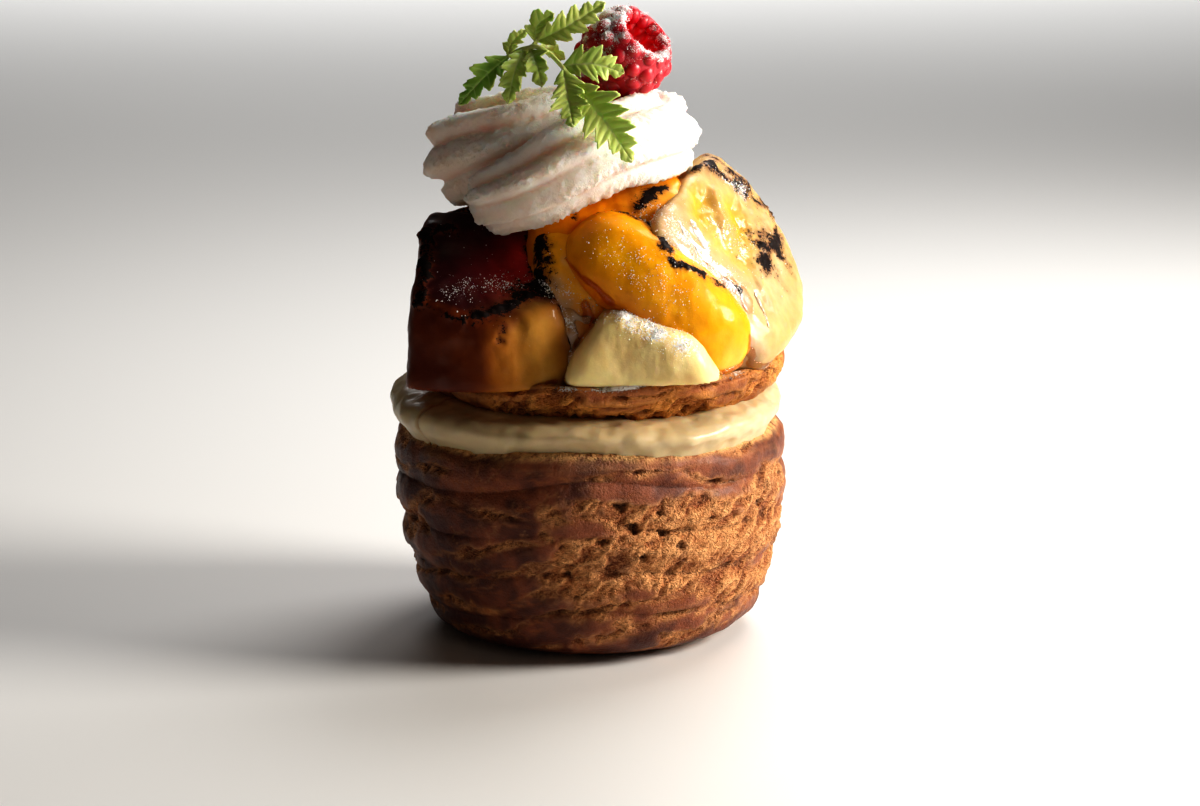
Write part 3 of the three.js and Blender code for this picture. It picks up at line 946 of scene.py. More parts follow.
BERRY = Finish("raspberry_skin", 0.42, coat=0.2, coat_roughness=0.2, glow=0.4, glow_reach=(1, 0.12, 0.1),
               glow_scale=0.0022, relief=0.15, tone=0.12, powder=FROST_MASK, powder_colour=(0.96, 0.88, 0.88),
               powder_cover=0.92)
LEAF = Finish("chervil_leaf", 0.5, coat=0.12, coat_roughness=0.25, glow=0.25, glow_reach=(0.5, 1, 0.1),
              glow_scale=0.001, relief=0.2, tone=0.12)
SUGAR = Finish("icing_sugar", 0.7, glow=0.3, glow_reach=(1, 1, 1), glow_scale=0.0004, tone=0.03)


# ---- Choux crust ----

FOLD_PITCH = 8.5
FOLD_DEPTH = 1.7
LID_X = 3
LID_SINK = 3.6
LID_SINK_TOWARDS = 195


def crust_fold(azimuth: Array, z: Array) -> Array:
    """The large folds of the crust, which wander as they go round and fade where it is torn.

    Args:
        azimuth: each point's azimuth.
        z: each point's height.

    Returns:
        How far the crust stands out at each point.
    """
    wander = 1.9 * np.sin(azimuth - 0.6) + 1.2 * np.sin(2 * azimuth + 1.7) + 0.7 * np.sin(5 * azimuth)
    fold = np.abs(np.sin(math.pi * (z + wander) / FOLD_PITCH)) ** 0.7 - 0.65
    torn = 0.65 + 0.35 * np.sin(3 * azimuth + 0.9) * np.cos(0.13 * z)
    return FOLD_DEPTH * fold * torn


def bulge(azimuth: Array, z: Array) -> Array:
    """How far the crust leaves a true round at each azimuth and height."""
    lean = 0.35 * np.sin(azimuth + 0.12 * z)
    return lean + 0.3 * np.sin(3 * azimuth + 0.8) + 0.25 * np.sin(4 * azimuth - 0.1 * z)


def rim_wave(azimuth: Array) -> Array:
    """How the cut rim rises and falls."""
    return 0.4 * np.sin(azimuth + 2.6) + 0.45 * np.sin(3 * azimuth + 0.4) + 0.25 * np.sin(7 * azimuth)


def lid_dip(azimuth: Array) -> Array:
    """How far the lid's edge has sunk at each azimuth."""
    return LID_SINK * np.maximum(0, np.cos(azimuth - math.radians(LID_SINK_TOWARDS))) ** 2


@dataclass(frozen=True)
class Pit:
    """A hole in the crust: its azimuth and height, its radius, and its depth from 0 to 1."""

    degrees: float
    height: float
    size: float
    depth: float


@dataclass(frozen=True)
class Patch:
    """A torn patch of crust, or a smooth one where its strength is below 0; it reaches across in degrees."""

    degrees: float
    height: float
    across: float
    tall: float
    strength: float

    def nearness(self, azimuth: Array, z: Array) -> Array:
        """How strong the patch is at each point."""
        aside = azimuth_gap(azimuth, self.degrees) / self.across
        return self.strength * np.exp(-(aside**2) - ((z - self.height) / self.tall) ** 2)


@dataclass
class Crust:
    """The baked skin of choux pastry on a surface: smooth bands, torn fibrous patches, cracks and pits.

    azimuth and z are those of the surface's points before the relief, and radius is its usual one.
    """

    surface: Surface
    azimuth: Array
    z: Array
    radius: float
    seed: int
    pits: tuple[Pit, ...]
    patches: tuple[Patch, ...]
    pitch: float = 5.3
    climb: float = 8.5
    # The side at this azimuth is painted darker: painted shade.
    shaded_side: float = -135.0
    skin: Colour = (0.28, 0.08, 0.029)
    skin_dark: Colour = (0.09, 0.016, 0.005)
    torn: Colour = (0.36, 0.112, 0.026)
    # The bright torn colour is that of torn edges and cracks, and is also painted as highlight on raised
    # fibres and crests.
    torn_bright: Colour = (0.74, 0.38, 0.16)
    # The deep colour is painted shade, laid in the creases under the bands and in the pits.
    deep: Colour = (0.1, 0.022, 0.007)
    crumb: Colour = (0.78, 0.48, 0.2)

    def __post_init__(self) -> None:
        """Works out its pattern, from the bands to the pits and cracks."""
        self.noise, self.other, self.wander = (GradientNoise(self.seed + k) for k in range(3))
        self.base = self.surface.points
        self.frayed = self.base + 0.7 * self.other.drift(self.base, 1.9, 7)
        self.part, self.rise = self.bands()
        self.bands_shown = smooth(self.other.fbm(self.base + 20, (13, 13, 5), 2), -0.3, 0.35)
        self.in_patch = self.torn_patches()
        self.tear = np.maximum(self.in_patch, self.seams())
        self.ragged = self.fibres()
        self.pit = self.pitted() * smooth(self.tear, 0.35, 0.8)
        _, gap, chance = self.noise.cells(self.frayed, (7.5, 7.5, 4.2))
        cracked = (chance > 0.6) * (1 - self.tear) * smooth(self.other.at(self.base, 9), -0.2, 0.4)
        self.crack = bell(gap, 0, 0.04) * cracked

    def bands(self) -> tuple[Array, Array]:
        """Lays out the smooth bands, which climb to the right near the foot.

        Returns:
            How far up its band each point is, and how far it is on a band's crest, both from 0 to 1.
        """
        climb = self.climb * np.cos(self.azimuth) * smooth(-self.z, -34, -18)
        slant = self.z - climb + 0.8 * np.sin(2 * self.azimuth + 1.7)
        slant = slant + 3.4 * self.wander.at(self.base, (17, 17, 9)) + 0.7 * self.wander.at(self.base, 4.5)
        part = slant / self.pitch - np.floor(slant / self.pitch)
        return part, 1 - np.abs(2 * part - 1)

    def torn_patches(self) -> Array:
        """Lays out the torn patches.

        Returns:
            How far each point is in one, from 0 to 1.
        """
        zone = 0.8 * self.noise.fbm(self.base, (15, 15, 7), 2)
        zone = sum((patch.nearness(self.azimuth, self.z) for patch in self.patches), zone)
        zone = zone + 0.35 * self.other.fbm(self.base, 2.8, 3) - 0.4 * self.rise * self.bands_shown
        return smooth(zone, 0.08, 0.42)

    def seams(self) -> Array:
        """Lays out the torn seams between the bands.

        Returns:
            How far each point is in one, from 0 to 1.
        """
        wide = 0.2 + 0.24 * smooth(self.other.fbm(self.base + 60, (10, 10, 5), 2), -0.3, 0.5)
        near = smooth(self.rise + 0.12 * self.noise.at(self.base, 1.6), 0.45 * wide, 1.6 * wide)
        return (1 - near) * self.bands_shown

    def fibres(self) -> Array:
        """Draws the fibres of torn crust out, most of them slantwise.

        Returns:
            A height for each point.
        """
        round_it = self.azimuth * self.radius
        slant = (0.8 * round_it + 0.6 * self.z, 0.8 * self.z - 0.6 * round_it, self.base[:, 2])
        drawn = np.stack(slant, axis=1) + 1.4 * self.other.drift(self.base, 4, 5)
        strands = self.noise.at(self.frayed, (1.3, 1.3, 2.2))
        clumps = self.other.at(self.frayed, (4.6, 4.6, 3.4))
        pulled = self.noise.at(drawn, (8, 2.6, 30))
        threads = self.other.at(drawn, (3.6, 1.1, 30))
        layers = ((0.3, strands), (0.3, clumps), (1.1, pulled), (0.35, threads))
        height = sum(share * (0.25 - np.abs(layer)) for share, layer in layers)
        return height + 0.12 * self.other.fbm(self.base, 1, 2)

    def pitted(self) -> Array:
        """Places the pits, those set by hand and a few by chance.

        Returns:
            How deep in a pit each point is, from 0 to 1.
        """
        shifted = self.base + 0.8 * self.other.at(self.base, 1.5)[:, None]
        hole, _, luck = self.other.cells(shifted, (5.2, 5.2, 3.4))
        depth = 0.5 * (luck > 0.92) * smooth(-hole, -0.3, -0.05)
        ragged_edge = 0.9 * self.other.fbm(self.base, 1.6, 3)
        for pit in self.pits:
            across = np.radians(azimuth_gap(self.azimuth, pit.degrees)) * self.radius
            far = np.hypot(across, (self.z - pit.height) * 1.5) / (0.8 * pit.size) + ragged_edge
            depth = np.maximum(depth, pit.depth * smooth(-far, -1, -0.35))
        return depth

    def relief(self) -> Array:
        """Turns the pattern into relief.

        Returns:
            A height for each point.
        """
        crest = (np.sqrt(np.clip(self.rise, 0, 1)) - 0.7) * self.bands_shown
        skin = 0.8 * crest + 0.3 + 0.3 * self.noise.at(self.base, 6) + 0.07 * self.noise.at(self.base, 1.2)
        return blend(skin, self.ragged + 0.5 * crest - 0.15, self.tear) - 1.4 * self.pit - 0.2 * self.crack

    def paint(self, cut: Array) -> Array:
        """Colours the crust, painted shade and painted highlight included.

        Args:
            cut: how far each point is on the cut edge, which shows pale crumb.

        Returns:
            A colour for each point.
        """
        noise, other, base = self.noise, self.other, self.base
        # Painted shade on the side turned from the light and towards the foot, with browning that varies at
        # random, darkens the skin and the torn crust.
        browning_and_shade = 0.45 * smooth(-azimuth_gap(self.azimuth, self.shaded_side), -55, -10) - 0.2
        browning_and_shade = browning_and_shade + 0.5 * smooth(-self.z, -15, -2) + noise.fbm(base + 90, 7, 3)
        skin = blend(self.skin, self.skin_dark, smooth(browning_and_shade + 0.35 * other.at(base, 20), -0.4, 0.5))
        streak = smooth(other.fbm(base + 33, (3.4, 3.4, 0.8), 3), 0, 0.5)
        skin = blend(skin, self.torn, 0.6 * streak * smooth(-self.rise, -0.95, -0.4))
        # The torn crust is painted lighter on its raised fibres and darker between them, as painted highlight
        # and painted shade, with random flecks.
        bright = smooth(self.ragged + 0.4 * other.fbm(base, 1.4, 3), -0.5, 0.55)
        golden = blend(self.torn, self.torn_bright, 0.8 * bright)
        golden = blend(golden, self.skin, 0.7 * smooth(-self.ragged, 0, 0.6))
        golden = blend(golden, self.skin_dark, 0.45 * smooth(browning_and_shade, -0.15, 0.6))
        paint = blend(skin, golden, self.tear)
        edge = bell(self.tear, 0.5, 0.2) * smooth(noise.fbm(base, 2.2, 2), -0.3, 0.3)
        paint = blend(paint, self.torn_bright, 0.22 * edge)
        paint = blend(paint, self.torn_bright, 0.3 * self.crack)
        # Painted shade darkens the crease under each band and the pits.
        crease_shade = bell(self.part, 0.05, 0.05) * self.bands_shown * (1 - self.in_patch)
        paint = blend(paint, self.deep, 0.5 * crease_shade)
        paint = blend(paint, self.deep, np.clip(0.95 * self.pit, 0, 1))
        return blend(paint, self.crumb, cut * smooth(noise.fbm(base, 1.2, 2), -0.6, 0.2))

    def dress(self, amount: Array, cut: Array) -> None:
        """Gives the surface its relief and its paint.

        Args:
            amount: how much of the relief each point takes.
            cut: how far each point is on the cut edge.
        """
        surface = self.surface
        relief = self.relief() * amount
        surface.swell(relief)
        sag = 0.7 * np.maximum(relief, 0) * (1 - self.in_patch) * bell(self.part, 0.25, 0.2)
        surface.points[:, 2] -= sag * smooth(self.z, 2, 7)
        full = smooth(amount, 0.1, 0.4)
        high = surface.crests(6)
        # Painted shade darkens the hollows of the relief and painted highlight lightens its crests.
        paint = self.paint(cut) * (1 - 0.55 * smooth(-high, 0.03, 0.4) * full)[:, None]
        surface.marks["paint"] = blend(paint, self.torn_bright, 0.45 * smooth(high, 0.05, 0.4) * full)
        surface.marks["torn"] = np.clip(np.maximum(self.tear, cut) - 0.25 * self.pit, 0, 1)


@dataclass
class ChouxCase:
    """The bun's hollow lower part, which holds the custard."""

    foot_radius: float = 24.0
    wall_radius: float = 38.0
    columns: int = 560
    spacing: float = 0.34
    seed: int = 11
    outside: tuple[tuple[float, float], ...] = (
        (24, 0), (31.2, 3.2), (34.6, 9.5), (36.8, 17), (38.4, 26), (38.6, 34), (38, 39.9),
    )
    rim: tuple[tuple[float, float], ...] = ((38, 39.9), (36.8, 42), (35, 42.4), (33.6, 40.8))
    inside: tuple[tuple[float, float], ...] = ((33.6, 40.8), (32.8, 22), (28.6, 12), (19.6, 7), (0, 7))
    pits: tuple[Pit, ...] = (
        Pit(-78.2, 29.1, 2.3, 1), Pit(-68.1, 27.5, 1.9, 0.9), Pit(-52.7, 29.1, 1.3, 0.9),
        Pit(-50.1, 35.4, 1.8, 0.8), Pit(-59.3, 34.6, 1.5, 0.6), Pit(-81.2, 33.1, 2, 0.8),
        Pit(-32.5, 29.7, 2.2, 0.8), Pit(-74.9, 22.9, 2, 0.9), Pit(-63.2, 24.8, 1.6, 0.6),
        Pit(-70, 31.5, 1, 0.5), Pit(-86, 26.6, 1.6, 0.6), Pit(-96, 20, 1.5, 0.6),
    )
    patches: tuple[Patch, ...] = (
        Patch(-56, 27, 40, 9.5, 0.95), Patch(-30, 17, 28, 13, 0.6), Patch(-88, 19, 24, 8, 0.5),
        Patch(-90, 39.5, 60, 4.5, -0.9), Patch(-50, 38.5, 30, 4, -0.5), Patch(-125, 25, 30, 12, -0.3),
        Patch(60, 20, 40, 9, 0.45), Patch(150, 28, 30, 9, 0.45),
    )

    def shape(self) -> tuple[Surface, Array, Array, Array, Array]:
        """Shapes it without its relief.

        Returns:
            The surface, and each point's azimuth, its radius and height in the profile, and whether it is on
            the outside, which has the relief.
        """
        profile = joined_lines(
            spaced([(0, 0), (self.foot_radius, 0)], 6),
            smooth_line(self.outside, self.spacing),
            smooth_line(self.rim, 0.42),
            spaced(self.inside, 7),
        )
        surface, azimuth, row = turned(profile, self.columns)
        radius, z = profile[row].T
        on_crust = (row >= 4) & (radius > 33.5) | (z < 22) & (radius > self.foot_radius - 1)
        on_crust = on_crust & (row < len(profile) - 9)
        out = crust_fold(azimuth, z) * (1 - 0.6 * smooth(z, 36.4, 41.4)) + bulge(azimuth, z)
        surface.push_out(azimuth, smooth(z, 0, 6) * out * on_crust)
        surface.points[:, 2] += rim_wave(azimuth) * smooth(z, 28.4, 41.4)
        return surface, azimuth, radius, z, on_crust

    def build(self) -> Piece:
        """Builds and dresses it.

        Returns:
            The piece.
        """
        surface, azimuth, radius, z, on_crust = self.shape()
        cut = smooth(z, 40.6, 42) * (radius < 37.6)
        amount = smooth(z, 0.2, 4) * on_crust * (1 - 0.6 * cut)
        crust = Crust(surface, azimuth, z, self.wall_radius, self.seed, self.pits, self.patches)
        crust.dress(amount, 0.8 * cut)
        surface.points[:, 2] = np.maximum(surface.points[:, 2], 0)
        surface.marks["powder"] = np.full(len(z), -1.0)
        piece = placed(surface, "choux_case", CRUST.material())
        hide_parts("choux_shell")
        return piece


@dataclass
class ChouxLid:
    """The slice off the bun's top, pressed into the custard as a dish for the fruit."""

    floor: float = 49.8
    bottom: float = 44.8
    rim_z: float = 56.2
    rim_radius: float = 35.4
    wall_radius: float = 34.0
    columns: int = 460
    seed: int = 23
    front: float = -72.0
    juice: Colour = (0.3, 0.06, 0.015)
    pits: tuple[Pit, ...] = (
        Pit(-77, 49.5, 2.2, 0.9), Pit(-60, 49, 1.6, 0.8), Pit(-48, 52.2, 1.2, 0.6), Pit(-88, 48.5, 1.5, 0.8),
    )
    patches: tuple[Patch, ...] = (Patch(-75, 49, 70, 6, 0.6), Patch(100, 50, 80, 6, 0.4))

    def profile(self) -> Array:
        """Draws its profile.

        Returns:
            [radius, z] rows from the middle of its underside to the middle of its floor.
        """
        low = self.bottom
        under = [(0, low), (16, low + 0.2), (25, low + 1.5), (31, low + 4.6), (34.4, low + 8.2)]
        under.append((self.rim_radius, 55))
        under = smooth_line(under, 0.2)
        return joined_lines(
            spaced(under[:80], 1.6),
            spaced(under[79:], 0.36),
            smooth_line([(self.rim_radius, 55), (34.2, self.rim_z), (32.2, 55.6)], 0.4),
            spaced([(32.2, 55.6), (25.4, self.floor + 1.6), (15.4, self.floor), (0, self.floor)], 2),
        )

    def build(self) -> Piece:
        """Builds and dresses it.

        Returns:
            The piece.
        """
        profile = self.profile()
        surface, azimuth, row = turned(profile, self.columns)
        radius, z = profile[row].T
        near_edge = smooth(radius, 25.4, self.rim_radius)
        folds = 0.5 * crust_fold(azimuth + 1, 1.4 * z) + 0.7 * bulge(azimuth + 2, z)
        surface.push_out(azimuth, near_edge * folds)
        surface.points[:, 0] += LID_X
        wave = 0.5 * rim_wave(azimuth + 1.2) + 0.3 * np.sin(9 * azimuth)
        surface.points[:, 2] += near_edge * (wave - lid_dip(azimuth))
        outer = row < int(np.argmax(profile[:, 1])) + 1
        amount = smooth(radius, 15, 27) * np.where(outer, 1.35, 0.25)
        crust = Crust(
            surface, azimuth, z, self.wall_radius, self.seed, self.pits, self.patches, pitch=3.4, climb=-3,
            skin=(0.33, 0.09, 0.012), skin_dark=(0.18, 0.035, 0.006), torn=(0.44, 0.14, 0.018),
            torn_bright=(0.8, 0.38, 0.09),
        )
        crust.dress(amount, 0.2 * smooth(z, 55.4, 56.1))
        front = smooth(-azimuth_gap(azimuth, self.front), -52, -20)
        patchy = 0.72 + 0.6 * GradientNoise(self.seed + 1).at(surface.points, 5)
        surface.marks["powder"] = front * smooth(z, 54.6, 56) * patchy - 0.1
        surface.marks["paint"] = blend(surface.marks["paint"], self.juice, 0.55 * bell(z, 55, 0.8) * front)
        piece = placed(surface, "choux_top", CRUST.material())
        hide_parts("choux_lid")
        return piece


@dataclass
class CustardLayer:
    """The custard that fills the case and swells out between it and the lid."""

    columns: int = 420
    seed: int = 31
    wall_radius: float = 37.0
    pale: Colour = (0.63, 0.51, 0.31)
    rich: Colour = (0.56, 0.42, 0.22)
    # The split's dark colour is painted shade in the fold.
    split_shade: Colour = (0.35, 0.12, 0.03)
    split_degrees: float = -147.5
    filling: tuple[tuple[float, float], ...] = ((0, 7.4), (19, 7.4), (28.2, 12.4), (32.3, 22), (33.6, 38.6))
    swelling: tuple[tuple[float, float], ...] = (
        (33.6, 38.6), (35.4, 39.8), (37.2, 42.8), (38.6, 45.2), (36.8, 46.6), (32.6, 47.6),
    )

    def shape(self) -> tuple[Surface, Array, Array, Array]:
        """Shapes it without its small dimples.

        Returns:
            The surface, and for each point its azimuth and its radius and height in the profile.
        """
        top = self.swelling[-1]
        profile = joined_lines(
            spaced(self.filling, 6), smooth_line(self.swelling, 0.4), spaced([top, (0, top[1])], 6)
        )
        surface, azimuth, row = turned(profile, self.columns)
        radius, z = profile[row].T
        free = smooth(z, 38.4, 43.4)
        cosine = np.cos(azimuth)
        out = 0.5 * np.sin(2 * azimuth + 2.6) + 0.35 * np.sin(5 * azimuth + 0.5) + 0.2 * np.sin(11 * azimuth)
        surface.push_out(azimuth, free * (out - 0.9 * cosine) * smooth(radius, 10, 34))
        rise = (1.6 * cosine**2 + 1.4 * np.maximum(0, -cosine)) * smooth(z, 43.4, 47.6)
        surface.points[:, 2] += free * rim_wave(azimuth) + rise
        return surface, azimuth, radius, z

    def build(self) -> Piece:
        """Builds and dresses it.

        Returns:
            The piece.
        """
        surface, azimuth, radius, z = self.shape()
        noise = GradientNoise(self.seed)
        base = surface.points.copy()
        dimple = smooth(-noise.cells(base * (1, 1, 0.8), 5.5)[0], -0.42, 0)
        soft = 0.45 * noise.at(base, (9, 9, 5)) + 0.34 * noise.at(base, 3.2) - 0.4 * dimple
        soft = soft + 0.07 * noise.fbm(base, 1.1, 2)
        aside = np.radians((np.degrees(azimuth) - self.split_degrees + 180) % 360 - 180) * self.wall_radius
        aside = aside + 0.35 * np.sin(z * 1.3) + 0.25 * noise.at(base, 1.4)
        split = bell(aside, 0, 0.32) * smooth(z, 40, 41.5)
        visible = smooth(z, 39, 41) * smooth(radius, 30, 34)
        surface.swell(visible * (soft - 0.8 * split + 0.25 * bell(aside, 0, 1.4)))
        tone = smooth(noise.fbm(base + 5, 9, 3), -0.5, 0.6)
        # Random tone, and painted shade that darkens the dimples and the split.
        paint = blend(self.pale, self.rich, 0.35 * tone + 0.3 * dimple)
        surface.marks["paint"] = blend(paint, self.split_shade, 0.85 * split)
        piece = placed(surface, "custard_layer", CUSTARD.material())
        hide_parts("custard")
        return piece


# ---- Fruit ----


@dataclass(frozen=True)
class Wash:
    """A colour laid over part of a fruit, as far as reach from a point or a line."""

    colour: Colour
    line: tuple[Point, ...]
    reach: float
    strength: float = 1.0


@dataclass(frozen=True)
class Burn:
    """A line or spot that the torch has burnt black."""

    line: tuple[Point, ...]
    width: float
    strength: float = 1.0
    raised: float = 0.35


@dataclass(frozen=True)
class Dent:
    """A hollow or, where its depth is negative, a swelling in a fruit."""

    line: tuple[Point, ...]
    reach: float
    depth: float


@dataclass(frozen=True)
class FruitShape:
    """A cut piece of soft fruit: flat faces round a centre, their edges as crisp as its sharpness."""

    name: str
    node: str
    centre: Point
    sharpness: float
    faces: tuple[tuple[float, float, float, float], ...]
    colour: Colour
    detail: int = 64
    face_colours: tuple[tuple[int, Colour, float], ...] = ()
    burnt_face: int | None = None
    edge_burn: float = 0.0
    washes: tuple[Wash, ...] = ()
    burns: tuple[Burn, ...] = ()
    dents: tuple[Dent, ...] = ()
    dust: tuple[Wash, ...] = ()
    unevenness: float = 0.6
    fibres: float = 0.6
    sag: float = 0.0


AMBER: Colour = (0.3, 0.075, 0.003)
# A near-black caramel brown, painted as shade on the left fruit's faces turned from the light.
CARAMEL_IN_SHADE: Colour = (0.07, 0.01, 0.005)
GOLD: Colour = (0.86, 0.35, 0.003)
PALE: Colour = (0.55, 0.375, 0.165)
YELLOW: Colour = (0.64, 0.36, 0.03)
BUTTER: Colour = (0.95, 0.75, 0.36)
MILKY: Colour = (0.58, 0.41, 0.3)
WHITE: Colour = (1, 1, 1)

RIGHT_SEAM = ((9.8, -17.5, 86.8), (13.9, -18.5, 85.5), (15.7, -22.3, 82.7), (19.1, -23, 79.4),
              (23.4, -21.5, 75.9), (28, -18.5, 72), (29.7, -22, 66.5), (31.2, -21.6, 60))
LEFT_SEAM = ((-6.5, -24, 73.5), (-5, -25.6, 70), (-3.6, -26.4, 66), (-2.4, -28, 61.5))

